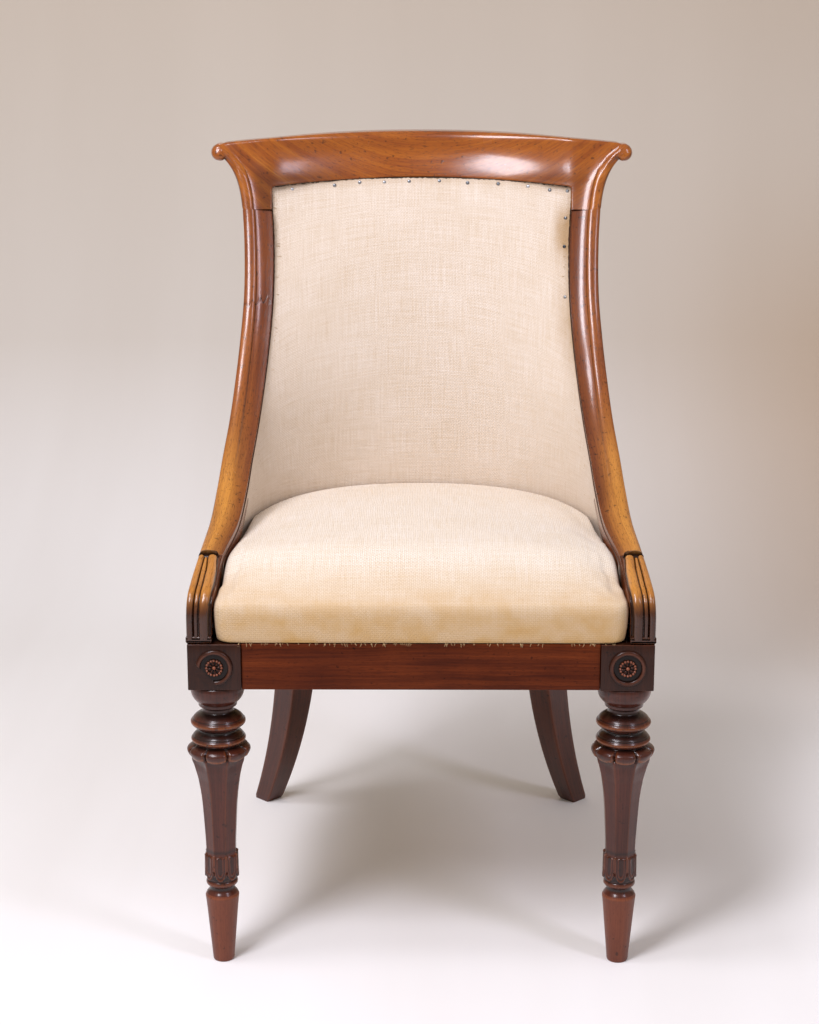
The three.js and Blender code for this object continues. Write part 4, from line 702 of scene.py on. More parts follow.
def crest_relief(x, z):
    """How far the bead and the volute's ball stand off the face.

    The bead is a dome across its middle line that turns into a raised cosine near the top, so
    that its crease fades there. The ball is a dome about the volute's centre. The two are
    joined by the logarithm of the sum of their exponentials.
    """
    flat_x, flat_z = np.abs(x).ravel(), z.ravel()
    best = np.full(flat_x.shape, 1e9)
    share = np.zeros(flat_x.shape, int)
    near = flat_x > 170
    gap = np.hypot(flat_x[near, None] - bead_line[:, 0], flat_z[near, None] - bead_line[:, 1]) / bead_half
    best[near], share[near] = gap.min(1), gap.argmin(1)
    soft = smooth((flat_z - 858) / 22)
    across = np.clip(best, 0, 1)
    profile = mix(dome(across), 0.5 + 0.5 * np.cos(np.pi * across), soft)
    ball = 5.6 * dome(np.hypot(flat_x - volute_x, flat_z - volute_z) / 9.8)
    rise = np.logaddexp(1.6 * bead_rise[share] * profile, 1.6 * ball) / 1.6 - math.log(2) / 1.6
    crease = hump(best, 1.0, 0.10) * (1 - soft)
    return np.maximum(rise, 0).reshape(x.shape), crease.reshape(x.shape), best.reshape(x.shape)


def crest_fibre(x, z):
    """The way across the crest's figure, whose lines rise from near the middle with the square of x."""
    return z - figure_sag * (x - figure_middle) ** 2


def crest_surface(x, z, edge):
    """Front Y of the crest at x and z, with dirt and painted shade, and wear; edge rounds it off at the
    outline.

    The stiles' cove goes on round the corners of the opening and dies out up the face.
    """
    rise, crease, off = crest_relief(x, z)
    cove_width = 0.59 * (joint_outer - joint_inner)
    inward = np.clip((off - 1) * bead_half.mean() / cove_width, 0, 1)
    reach = smooth((888 - z) / 40) * smooth((np.abs(x) - 60) / 110)
    cove = cove_depth * (1 - (1 - inward) ** cove_power) * reach
    y = crest_plain(x, z) - rise + cove + edge
    # Painted shade in the notch between the flare and the ball.
    notch = hump(np.hypot(np.abs(x) - flare_start[0] + 1.2, z - flare_start[1] - 0.6), 0, 2.6)
    # Painted shade at the corners of the opening, stronger on the left.
    hollow = smooth((inward * 0.59 + 0.12) / 0.5) * reach * np.where(x < 0, 0.55, 0.3)
    # The bead's crease is darkened as painted shade.
    dirt_and_shade = 0.5 * crease + 0.95 * notch + hollow
    return y, np.clip(dirt_and_shade, 0, 1), 0.45 * (off < 0.8) * smooth((885 - z) / 20)


def crest_shells():
    """The crest as one loop of front, top, back and underside, and the round volute at each end.

    The face is a strip from the under edge to the top edge, and goes round the corner to the joint.
    """
    corner = 4.0
    s = np.linspace(0, 1, 61)
    under = np.stack([s * (joint_inner - corner), crest_under(s * (joint_inner - corner))], 1)
    a = np.radians(np.linspace(90, 0, 15))
    corner_z = crest_under(np.array(joint_inner)) - corner
    bend = np.stack([joint_inner - corner + corner * np.cos(a), corner_z + corner * np.sin(a)], 1)
    z_end = joint_z + joint_way[0] * stile_depth / 2 + 0.15
    drop = np.stack([np.full(24, joint_inner), np.linspace(bend[-1, 1], z_end, 25)[1:]], 1)
    inner = np.concatenate([under, bend[1:], drop])
    top_x = s * (volute_x - 10)
    top = np.stack([top_x, crest_top(top_x)], 1)
    roll_pulls = [
        (volute_x - 10, crest_top(volute_x - 10)), (volute_x + 3, crest_top(volute_x) - 0.6),
        (volute_x + 5, volute_z + 1), flare_start,
    ]
    inside = bezier(roll_pulls, np.linspace(0, 1, 15))[1:]
    flare = bezier(flare_pulls, np.linspace(0, 1, 60))
    flare = flare[flare[:, 1] > z_end]
    flare = np.concatenate([flare, [[joint_outer, z_end]]])
    pick = np.linspace(0, len(flare) - 1, 25)
    flare = np.stack([np.interp(pick, np.arange(len(flare)), flare[:, i]) for i in (0, 1)], 1)[1:]
    outer = np.concatenate([top, inside, flare])
    half_i = np.concatenate([inner[:0:-1] * [-1, 1], inner])
    half_o = np.concatenate([outer[:0:-1] * [-1, 1], outer])
    near_outer = [0.965, 0.978, 0.988, 0.995, 1]
    v = np.concatenate([[0, 0.006, 0.016, 0.03], np.linspace(0.05, 0.95, 58), near_outer])
    x = mix(half_i[:, :1], half_o[:, :1], v[None, :])
    z = mix(half_i[:, 1:], half_o[:, 1:], v[None, :])
    length = np.hypot(half_o[:, 0] - half_i[:, 0], half_o[:, 1] - half_i[:, 1])[:, None]
    from_inner, from_outer = v * length, (1 - v) * length
    top_round = np.where(np.abs(half_o[:, :1]) < volute_x - 6, 4.5, 1.2)
    y, dirt_and_shade, wear_and_painted_light = crest_surface(x, z, round_off(from_inner, 1.6) + round_off(from_outer, top_round))
    in_disc = np.hypot(np.abs(x) - volute_x, z - volute_z) < volute_radius - 1
    y = y + 0.5 * in_disc
    thick = mix(35, 29, smooth((np.abs(x) / crest_half - 0.6) / 0.35))
    down = smooth((870 - z) / 40) * (np.abs(x) > joint_inner - 1)
    back_y = crest_plain(x, z) + thick - round_off(from_inner, 3.0) - round_off(from_outer, 3.0)
    back_z = z - down * joint_way[0] * stile_depth

    def edge_columns(column, steps, dirt_and_shade_tone):
        """One column of the face carried in steps to the back, darkened by the given amount."""
        at = [column]
        marks = np.full((len(x), 1), dirt_and_shade_tone), np.zeros((len(x), 1))
        return [
            (x[:, at], mix(y[:, at], back_y[:, at], k), mix(z[:, at], back_z[:, at], k), *marks)
            for k in steps
        ]

    steps = np.linspace(0, 1, 7)[1:-1]
    columns = [(x, y, z, dirt_and_shade, wear_and_painted_light), *edge_columns(-1, steps, 0.15)]
    columns.append((x[:, ::-1], back_y[:, ::-1], back_z[:, ::-1], np.full_like(x, 0.2), np.zeros_like(x)))
    columns += edge_columns(0, steps[::-1], 0.5)
    columns.append([channel[:, :1] for channel in columns[0]])
    x, y, z, dirt_and_shade, wear_and_painted_light = (np.concatenate(channel, 1) for channel in zip(*columns))
    shells = [capped(sheetwise(x, y, z, x, crest_fibre(x, z), dirt_and_shade, wear_and_painted_light))]

    angle = np.radians(np.linspace(0, 360, 73))[None, :]
    radius = np.concatenate([np.linspace(0, 1, 16), [1, 1, 1, 1, 1, 1], np.linspace(1, 0, 8)])[:, None]
    back_rows = np.concatenate([np.zeros(16), np.linspace(0.06, 0.97, 6), np.ones(8)])[:, None]
    open_side = smooth((np.cos(angle + math.radians(13)) + 0.25) / 0.5)
    x = volute_x + radius * volute_radius * np.cos(angle)
    z = volute_z + radius * volute_radius * np.sin(angle)
    drawn_in = 3.6 * open_side * (1 - dome(np.clip((radius - 0.66) / 0.34, 0, 1)))
    y, dirt_and_shade = crest_surface(x, z, drawn_in)[:2]
    end = crest_plain(volute_x, volute_z) + 29 + 2.0 * (1 - radius) * (back_rows == 1)
    y = mix(y, end, back_rows)
    for hand in (1, -1):
        shells.append(sheetwise(hand * x, y, z, hand * x, crest_fibre(hand * x, z), dirt_and_shade, 0.25))
    return shells


# front legs

# Height above the floor and radius down the turning. From the collar to the leaf band the
# radius is that of the eight-sided shaft's flats.
leg_profile = np.array([
    (337.5, 0), (337.5, 20), (336.4, 27.5), (335.6, 28.6), (334.6, 29.6), (331, 30.1), (327, 30.0),
    (323, 29.0), (319.6, 27.2), (316.8, 25.0), (314.4, 22.6), (313.2, 21.4), (312.4, 21.6),
    (310.4, 21.6), (309.5, 20.6), (309.2, 18.3), (307.2, 17.5), (305, 17.3), (303.2, 17.8), (302, 19.6),
    (300.6, 22.2), (298.6, 25.2), (296.9, 27.1), (295.8, 28.0), (295.4, 27.7), (295.0, 28.6),
    (294.4, 29.0), (293.9, 28.8), (293.4, 29.7), (292.4, 30.6), (291.1, 30.9), (289.5, 30.6),
    (287.9, 29.4), (286.2, 27.2), (284.6, 24.9), (283.2, 23.0), (281.8, 22.2), (280.6, 22.6),
    (279.2, 24.0), (277.4, 26.2), (275.9, 27.7), (275.2, 28.1), (274.8, 27.9), (274.3, 29.0),
    (273.8, 29.3), (273.4, 29.2), (272.9, 30.0), (271.9, 30.6), (270.6, 30.7), (269.1, 30.0),
    (267.6, 28.6), (266.4, 27.0), (265.4, 25.9), (264.6, 26.2), (263.6, 28.2), (262.2, 31.2),
    (260.6, 33.4), (258.8, 34.4), (256.6, 34.2), (254, 33.0), (251, 31.2), (247.5, 29.3), (243, 27.6),
    (238, 26.3), (224.8, 23.1), (210, 20.9), (201.7, 19.9), (190, 19.0), (178.5, 18.3), (159.8, 17.3),
    (147, 16.7), (136, 16.4), (134.2, 16.4), (133.8, 16.5), (130, 16.9), (122, 17.1), (114, 17.1),
    (108, 17.0), (103.4, 16.9), (101.6, 16.8), (100.8, 16.4), (100.2, 16.4), (99.6, 17.2), (98.4, 17.9),
    (96.8, 18.1), (95.2, 17.8), (94.0, 16.8), (93.4, 15.4), (91.8, 14.5), (90, 14.3), (88.2, 14.6),
    (86.6, 15.6), (85.0, 16.9), (83.6, 17.9), (82.8, 18.3), (82.4, 18.1), (81.9, 18.6), (81.0, 19.1),
    (79.6, 19.2), (77, 18.8), (66, 17.7), (53, 16.6), (29, 14.5), (12, 13.0), (2.4, 12.2), (0.8, 11.9),
    (0, 11.3), (0, 6), (0, 0),
])
# Where old dirt lies round the turning, and where its polish is rubbed: height, reach and strength.
leg_dirt_places = [
    (309, 1.3, 1), (302.0, 4.2, 0.95), (281.5, 3.6, 0.95), (276.4, 1.4, 0.6), (265.2, 1.9, 0.9),
    (136.6, 2.2, 0.7), (100.6, 0.8, 1), (91, 2.8, 0.9), (336, 1.6, 0.8), (313.4, 1.2, 0.45),
    (295.3, 0.45, 0.9), (274.7, 0.45, 0.9),
]
leg_wear_places = [(291.0, 1.6, 0.9), (270.8, 1.4, 0.9), (97, 1.6, 0.35), (81.0, 0.9, 0.5)]


def leg_shells():
    """The block, and the turning as one lathe grid whose radius changes with height and angle.

    Eight flats: the profile over the cosine of the angle from the flat's middle. The collar is
    eight round lobes with a cut between them, each with an arched lower edge that stands over
    its flat. The leaf band has eight round-ended tongues, each with a raised rim and an inner
    rim, from the distance to an ellipse that goes straight up, and a pointed rib between them.
    """
    run = run_over(leg_profile)
    # Rows are at most 1 mm apart along the profile.
    counts = np.maximum(2, np.ceil(np.diff(run)).astype(int) + 1)
    steps = [np.linspace(a, b, count)[:-1] for a, b, count in zip(run[:-1], run[1:], counts)]
    at = np.concatenate(steps + [[run[-1]]])
    z0 = np.interp(at, run, leg_profile[:, 0])
    r0 = np.interp(at, run, leg_profile[:, 1])
    # A light smoothing of the profile between its quirks.
    r0[2:-2] = (r0[1:-3] + 2 * r0[2:-2] + r0[3:-1]) / 4
    z, r = z0[:, None], r0[:, None]
    angle = np.radians(np.linspace(0, 360, 161))[None, :]
    local = (np.mod(angle + math.pi / 8, math.pi / 4) - math.pi / 8) / (math.pi / 8)
    side = np.abs(local)
    flats = smooth((254 - z) / 8) * smooth((z - 130.5) / 3)
    corner = np.minimum(1 / np.cos(local * math.pi / 8), 1.076)
    radius = r * mix(1, corner, flats)
    # collar
    lobe_edge = 249.5 + 4.6 * side**2.6
    on_lobe = smooth((z - lobe_edge) / 1.0) * smooth((265.5 - z) / 2)
    cut = hump(side, 1, 0.13) * smooth((z - 250.5) / 3) * smooth((265 - z) / 3)
    under_lobe = smooth((lobe_edge - z) / 0.8) * smooth((z - 234) / 12) * (1 - side**3)
    radius = radius + on_lobe * (0.5 + 0.9 * (1 - side**2)) - 3.4 * cut - 1.3 * under_lobe
    # Painted shade in the cuts between the lobes, and a painted shadow under each lobe's arched edge.
    dirt_and_shade = 0.75 * cut + 0.5 * under_lobe * smooth((z - 244) / 6)
    # The lobes' lower edges are rubbed golden; the light lines on the lobes beside the cuts are painted
    # highlights.
    wear_and_painted_light = 0.95 * hump(z, lobe_edge + 1.9, 1.5) * (side < 0.9) + 0.55 * hump(side, 0.82, 0.06) * on_lobe
    wear_and_painted_light = wear_and_painted_light + sum(strength * hump(z, height, reach) for height, reach, strength in leg_wear_places)
    wear_and_painted_light = wear_and_painted_light + 0.22 * hump(side, 1, 0.09) * flats
    # leaf band
    up = (z - 103.5) / 26.5
    top = 130.8 + 2.4 * hump(side, 1, 0.25) + 1.0 * hump(side, 0, 0.4)
    band = smooth((top - z) / 0.7) * smooth((z - 101.8) / 0.6)
    reach = np.where(up < 0.42, np.hypot(side / 0.78, (0.42 - up) / 0.42), side / (0.78 + 0.07 * up))
    rim = hump(reach, 1.0, 0.11)
    inner_rim = hump(reach, 0.56, 0.11) * (up > 0.05)
    rib = hump(side, 1, 0.11) * smooth((up - 0.1) / 0.15)
    sunk = (reach > 1.12) * (1 - rib)
    vein = hump(side, 0, 0.08) * smooth((up - 0.5) / 0.2)
    radius = radius + band * (1.5 + 1.15 * rim + 0.8 * inner_rim + 1.1 * rib - 0.9 * sunk - 0.5 * vein)
    dirt_and_shade = dirt_and_shade + band * (0.9 * sunk + 0.9 * hump(reach, 0.78, 0.07) + 0.6 * (reach < 0.42))
    wear_and_painted_light = wear_and_painted_light + band * (0.22 * rim + 0.16 * rib + 0.14 * inner_rim)
    wear_and_painted_light = wear_and_painted_light + 0.2 * hump(z, top - 0.5, 0.7)
    recess = sum(strength * hump(z, height, reach) for height, reach, strength in leg_dirt_places)
    dirt_and_shade = np.clip(dirt_and_shade + recess, 0, 1)
    x = block_x + radius * np.cos(angle)
    y = radius * np.sin(angle)
    wear_and_painted_light = np.clip(wear_and_painted_light, 0, 1) * (1 - 0.8 * dirt_and_shade)
    turned = sheetwise(x, y, z, z + 0 * angle, angle * 22, dirt_and_shade, wear_and_painted_light)
    foot_row = int(np.argmax(z0 < 84.0))
    # The foot's end is flat on the floor, and the top of the turning is inside the block.
    loop = rounded(block_x - block_half, block_x + block_half, -block_half, block_half, 1.2, 3, 10)
    block = prism(loop, leg_height, rail_top, 1.0, grain_along_x=False)
    block[..., 5] = 0.2
    block[..., 6] *= 0.7
    return block, capped(turned[: foot_row + 1]), capped(turned[foot_row:])


patera_z = mix(leg_height, rail_top, 0.5)


def patera_shell(hand):
    """The carved round: a polar grid with a raised ring, a dish darkened with painted shade and eight
    two-lobed petals.

    Petals and eye are domes about their own places. On the left chair leg the ring is rubbed
    down beyond a straight line, as it is in the photograph.
    """
    share = np.concatenate([np.linspace(0, 0.74, 52), np.linspace(0.74, 1, 26)[1:]])[:, None]
    angle = np.radians(np.linspace(0, 360, 145))[None, :]
    radius = share * 20.6
    x, z = radius * np.cos(angle), radius * np.sin(angle)
    ring = 3.6 * dome((share - 0.865) / 0.135) ** 0.7
    petals = np.zeros(np.broadcast(x, z).shape)
    for k in range(8):
        a = math.radians(45 * k + 11)
        for lobe in (-1, 1):
            b = a + lobe * math.radians(10.5)
            knob = np.hypot(x - 8.4 * math.cos(b), z - 8.4 * math.sin(b)) / 1.95
            petals = np.maximum(petals, 3.0 * dome(knob))
        out = x * math.cos(a) + z * math.sin(a)
        off = -x * math.sin(a) + z * math.cos(a)
        petals = np.maximum(petals, 2.1 * dome(np.hypot((out - 5.2) / 3.0, off / 1.3)))
    eye = 3.2 * dome(np.hypot(x, z) / 2.3)
    proud = 0.25 + np.maximum(np.maximum(ring, petals), eye)
    if hand < 0:
        beyond = smooth((-0.727 * x - 0.687 * z - 11.2) / 1.2)
        proud = mix(proud, 0.3, beyond)
    raised = np.maximum(petals, eye)
    # Painted shade in the dish, fading up the petals and eye; darker at the ring's outer edge.
    dirt_and_shade = 0.85 * (share < 0.76) * (1 - smooth((raised - 0.4) / 1.2)) + 0.5 * hump(share, 0.995, 0.012)
    if hand < 0:
        dirt_and_shade = dirt_and_shade * (1 - beyond) + 0.2 * beyond
    # Painted highlights on the petal tops, the eye and the ring's inner edge.
    wear_and_painted_light = 0.75 * (share < 0.7) * smooth((petals - 1.9) / 0.9) + 0.8 * (eye > 1.8)
    wear_and_painted_light = wear_and_painted_light + 0.2 * hump(share, 0.84, 0.06)
    if hand < 0:
        wear_and_painted_light = wear_and_painted_light * (1 - beyond)
    y = -block_half - proud
    dirt_and_shade, wear_and_painted_light = np.clip(dirt_and_shade, 0, 1), np.clip(wear_and_painted_light, 0, 1)
    front = sheetwise(block_x + hand * x, y, patera_z + z, x, z, dirt_and_shade, wear_and_painted_light)
    rim = front[-1:].copy()
    rim[..., 1] = -block_half + 3.9
    end = rim.copy()
    end[..., 0], end[..., 2] = block_x, patera_z
    return np.concatenate([front, rim, end])


sabre_top, sabre_foot = (163.5, 428.0), (212.0, 486.0)
sabre_side, sabre_foot_side = 41.0, 27.5


def sabre_shell():
    """A back leg: a square with round corners, set cornerwise, that gets slimmer to the foot.

    Its offset sideways grows with the 2.4th power of the drop and its rake with the 1.5th.
    """
    down = np.concatenate([[0, 0.004], np.linspace(0.02, 0.985, 64), [0.996, 1]])
    turn = math.radians(45)
    rows = []
    stations = [(z, sabre_side, *sabre_top, 0) for z in np.linspace(rail_top, leg_height, 8)[:-1]]
    for d in down:
        side = mix(sabre_side, sabre_foot_side, d**1.9)
        x, y = mix(sabre_top[0], sabre_foot[0], d**2.4), mix(sabre_top[1], sabre_foot[1], d**1.5)
        stations.append((leg_height * (1 - d), side, x, y, smooth((d - 0.985) / 0.015)))
    for z, side, x, y, inset in stations:
        half = side / 2 - inset
        loop = rounded(-half, half, -half, half, 1.8, 4, 6)
        loop = np.concatenate([loop, loop[:1]])
        px = x + loop[:, 0] * math.cos(turn) - loop[:, 1] * math.sin(turn)
        py = y + loop[:, 0] * math.sin(turn) + loop[:, 1] * math.cos(turn)
        reach = np.hypot(loop[:, 0], loop[:, 1]) / half
        wear_and_painted_light = 0.45 * smooth((reach - 1.25) / 0.1)
        rows.append(sheetwise(px, py, z, z, np.arange(len(loop)) * 3.0, 0.12, wear_and_painted_light))
    return capped(np.array(rows))


# seat frame

side_rail_thickness, back_rail_thickness = 36.0, 30.0
tenon_low, tenon_high = 344.0, 381.0


def bowed(across, edge_x, edge_y, middle_y, rounding, tight):
    """The tub in plan: depth from edge to middle by (1 - |across| to a power) to one over another."""
    reach = np.minimum(np.abs(across), 1)
    share = np.clip(1 - reach**rounding, 0, 1) ** (1 / tight)
    return edge_x * across, mix(edge_y, middle_y, share)


def bow_way(across, *form):
    """The unit way out of a bow in plan, square to it, from places 0.01 to either side."""
    near = np.clip(across, -0.99, 0.99)
    x0, y0 = bowed(near - 0.01, *form)
    x1, y1 = bowed(near + 0.01, *form)
    way = np.stack([y0 - y1, x1 - x0], -1)
    return way / np.linalg.norm(way, axis=-1, keepdims=True)


def frame_line(across, inset):
    """The seat frame's outer line in plan, moved in square to itself."""
    form = side_rail_out, block_half, frame_depth, 3.6, 3.6
    return np.stack(bowed(across, *form), -1) - bow_way(across, *form) * inset


def even_line(low, high, thickness, count):
    """Places across the frame whose steps along its outer line are alike."""
    many = np.linspace(low, high, 3000)
    points = frame_line(many, 0)
    run = run_over(points)
    places = np.interp(np.linspace(0, run[-1], count), run, many)
    return frame_line(places, 0), frame_line(places, thickness)


def rail_shells():
    """The front rail and one side rail with their tenons, and the plain back rail."""
    half = block_x - block_half - fit_gap
    front = [prism(rounded(-half, half, -26.5, -1.5, 1.0, 3, 40), leg_height, rail_top, 1.0)]
    for low, high in ((-215.8, -197.0), (197.0, 215.8)):
        front.append(prism(rounded(low, high, -19, -9, 0.4, 2, 2), tenon_low, tenon_high, 0.4))
    outer, inner = even_line(0.9997, 0.735, side_rail_thickness, 60)
    keep = (outer[:, 1] > block_half + 0.2) & (inner[:, 1] > block_half + 0.2)
    outer, inner = outer[keep], inner[keep]
    start = np.array([[side_rail_out - inset, block_half + fit_gap] for inset in (0, side_rail_thickness)])
    loop = np.concatenate([start[:1], outer, inner[::-1], start[1:]])
    side = [prism(loop, leg_height, rail_top, 1.0)]
    side.append(prism(rounded(230.8, 240.8, 11.8, 34, 0.4, 2, 2), tenon_low, tenon_high, 0.4))
    outer, inner = even_line(-0.54, 0.54, back_rail_thickness, 90)
    back = [prism(np.concatenate([outer, inner[::-1]]), leg_height, rail_top, 1.0)]
    return front, side, back


# tub

# Powers of the bow in plan, from the seat rail up to the crest.
round_powers = [3.4, 2.8, 2.6, 2.4, 2.25, 2.15, 2.1, 2.05, 2, 2, 2]
tight_powers = [3.4, 2.8, 2.5, 2.2, 1.95, 1.7, 1.5, 1.35, 1.25, 1.18, 1.12]
outside_round_powers = [3.6, 3.1, 2.8, 2.5, 2.3, 2.2, 2.1, 2.05, 2, 2, 2]
outside_tight_powers = [3.6, 3.1, 2.8, 2.6, 2.4, 2.2, 2, 1.85, 1.7, 1.55, 1.4]


def middle_curve(bottom, seat, top, high, up):
    """The tub's middle line in side view: a cubic Bezier from the rail to the crest."""
    pulls = [
        (bottom, rail_top), (mix(bottom, seat, 1.6), mix(rail_top, crest_under_middle, 0.28)),
        (mix(seat, top, high), mix(rail_top, crest_under_middle, 0.62)), (top, crest_under_middle),
    ]
    p = bezier(pulls, up)
    return p[..., 0], p[..., 1] + fit_gap * (1 - 2 * up)


def tub_edge(up, depth, bottom_y, bend=1):
    """The tub's edge in side view: from the rail to the stile, then under the stile's face.

    The first part's Y follows its height to the power bend.
    """
    low_y, low_z = sweep_point(np.array(0.08), depth)
    y, z = sweep_point(mix(0.08, 0.997, np.clip((up - 0.08) / 0.92, 0, 1)), depth)
    first = np.minimum(up / 0.08, 1)
    y = np.where(up < 0.08, mix(bottom_y, low_y, first**bend), y)
    return y, np.where(up < 0.08, mix(cloth_foot, low_z, first), z)


def pad_thickness(across, up):
    """The stuffing of the back: 19 mm in the middle, thinner towards the crest and the stiles."""
    return mix(19 * mix(1, 0.42, smooth((up - 0.55) / 0.45)), 2.2, smooth((np.abs(across) - 0.7) / 0.3))


def inside_point(across, up, fill, beyond):
    """The hessian that is leaned on: the bow at each height, moved out square to its plan."""
    y0, z0 = tub_edge(up, mix(8, 13, smooth((up - 0.8) / 0.15)), 31.2)
    x0 = stile_inner(np.maximum(up, 0.08)) - 0.8
    middle_y, middle_z = middle_curve(425, 409, 499, 0.22, up)
    rounding, tight = along(round_powers, up), along(tight_powers, up)
    x, y = bowed(across, x0, y0, middle_y, rounding, tight)
    z = bowed(across, x0, z0, middle_z, rounding, tight)[1]
    way = bow_way(across, x0, y0, middle_y, rounding, tight)
    out = fill * pad_thickness(across, up) + beyond
    return x + way[..., 0] * out, y + way[..., 1] * out, z


def outside_point(across, up, depth):
    """The outside cover: under the stiles, standing on the rails, and moved in by depth."""
    y0, z0 = tub_edge(up, 32, 25.5, bend=4)
    x0 = mix(side_rail_out, stile_outer(np.maximum(up, 0.08)) - 6, smooth(up / 0.08))
    middle_y, middle_z = middle_curve(frame_depth, 464, 533, 0.36, up)
    rounding, tight = along(outside_round_powers, up), along(outside_tight_powers, up)
    x, y = bowed(across, x0, y0, middle_y, rounding, tight)
    z = bowed(across, x0, z0, middle_z, rounding, tight)[1]
    # The top edge rises at its sides to meet the crest's underside.
    z = z + 8 * smooth((up - 0.9) / 0.1) * across**2
    cube = np.abs(across) ** 3
    inward = np.stack([-np.sign(across) * cube, cube - 1], -1)
    inward /= np.linalg.norm(inward, axis=-1, keepdims=True)
    return x + inward[..., 0] * depth, y + inward[..., 1] * depth, z


def cloth_run(x, y, z):
    """Cloth coordinates of a grid: lengths along the middle row and column, in millimetres."""
    p = np.stack([x, y, z], -1)
    middle = [p.shape[1] // 2]
    across, up = run_over(p, 1), run_over(p, 0)
    return across - across[:, middle], up[:, middle] + 0 * up


def inside_back_shell():
    """The stuffed inside of the tub: the hessian puckered between its tacks, and the pad behind it.

    Its rim, marked by the distance to the nearest edge, is painted dark as the shade in the gap along the
    wood, and the finish tears it unevenly.
    """
    up = np.concatenate([np.linspace(0, 0.96, 130), np.linspace(0.96, 1, 16)[1:]])[:, None]
    even = np.linspace(-1, 1, 181)[None, :]
    across = mix(even, np.sin(even * math.pi / 2), 0.8)
    x, y, z = inside_point(across, up, 0.0, 0.0)
    u, v = cloth_run(x, y, z)
    side = np.abs(across)
    pucker = 0.5 * hump(up, 1, 0.02) * np.sin(across * 38)
    pucker = pucker + 0.35 * np.sin(across * 7 + 9 * up) * np.sin(up * 11) * (1 - side**4)
    from_left = run_over(np.stack([x, y, z], -1), 1)
    to_edge = np.minimum(np.minimum(from_left, from_left[:, -1:] - from_left), (1 - up) * 420)
    rim = np.clip(1 - to_edge / 8, 0, 1)
    stain_and_shade = smooth((across - 0.87) / 0.09) * (0.95 * hump(up, 0.915, 0.045) + 0.4 * hump(up, 0.72, 0.12))
    stain_and_shade = stain_and_shade + 0.35 * np.clip(1 - to_edge / 9, 0, 1) + 0.25 * smooth((0.3 - up) / 0.3)
    front = sheetwise(x, y + pucker, z, u, v, np.clip(stain_and_shade, 0, 1), rim)
    # The pad behind is painted dark as the shade behind the cloth.
    bx, by, bz = inside_point(across, up, 1.0, 1.4 + fit_gap)
    back = sheetwise(bx, by, np.minimum(bz, 845), u, v, 0, 1)
    return slab(front, back)


def outside_back_shell():
    """The outside cover: two like grids 1.4 mm apart, darker along its sides and its foot."""
    up = np.linspace(0, 1, 110)[:, None]
    even = np.linspace(-1, 1, 181)[None, :]
    across = mix(even, np.sin(even * math.pi / 2), 0.75)
    x, y, z = outside_point(across, up, 0.0)
    u, v = cloth_run(x, y, z)
    ix, iy, iz = outside_point(across, up, 1.4)
    edge = 0.6 * smooth((np.abs(across) - 0.97) / 0.03) + 0.5 * hump(up, 0, 0.01)
    return slab(sheetwise(x, y, z, u, v, edge, 0), sheetwise(ix, iy, iz, u, v, 0, 0))


# seat

seat_half, seat_front, seat_back, seat_corner = 219.3, -27.5, 425.0, 15.0
seat_hub = mix(seat_front, seat_back, 0.48)
seat_swell, seat_crown = 4.2, 12.0
seat_foot = 389.6


def seat_outline(count):
    """The seat's plan loop: across the front, round the corner, along the side and in a curve to the middle.

    The front 40 mm stand out a little further, between the terminals.
    """
    half = seat_half
    a = np.radians(np.linspace(-90, 0, 30))
    shoulder = mix(seat_front, seat_back, 0.35)
    straight = np.stack([np.linspace(0, half - seat_corner, 60), np.full(60, seat_front)], 1)
    turn = [half - seat_corner + seat_corner * np.cos(a), seat_front + seat_corner + seat_corner * np.sin(a)]
    side = np.stack([np.full(60, half), np.linspace(seat_front + seat_corner, shoulder, 60)], 1)
    high_pull = mix(seat_front, seat_back, 0.8)
    pulls = [(half, shoulder), (half, high_pull), (half * 0.62, seat_back), (0, seat_back)]
    curve_back = bezier(pulls, np.linspace(0, 1, 200))
    path = np.concatenate([straight, np.stack(turn, 1)[1:], side[1:], curve_back[1:]])
    path[:, 0] *= 1 + 0.026 * (1 - smooth((path[:, 1] - 4) / 22))
    run = run_over(path)
    s = np.linspace(0, run[-1], count // 2 + 1)
    right = np.stack([np.interp(s, run, path[:, i]) for i in (0, 1)], 1)
    return np.concatenate([right, right[-2:0:-1] * [-1, 1], right[:1]])


def seat_base(y):
    """The shoulder's height: low at the front edge, rising over the first 110 mm."""
    return mix(438, 466, smooth((y - seat_front) / 110))


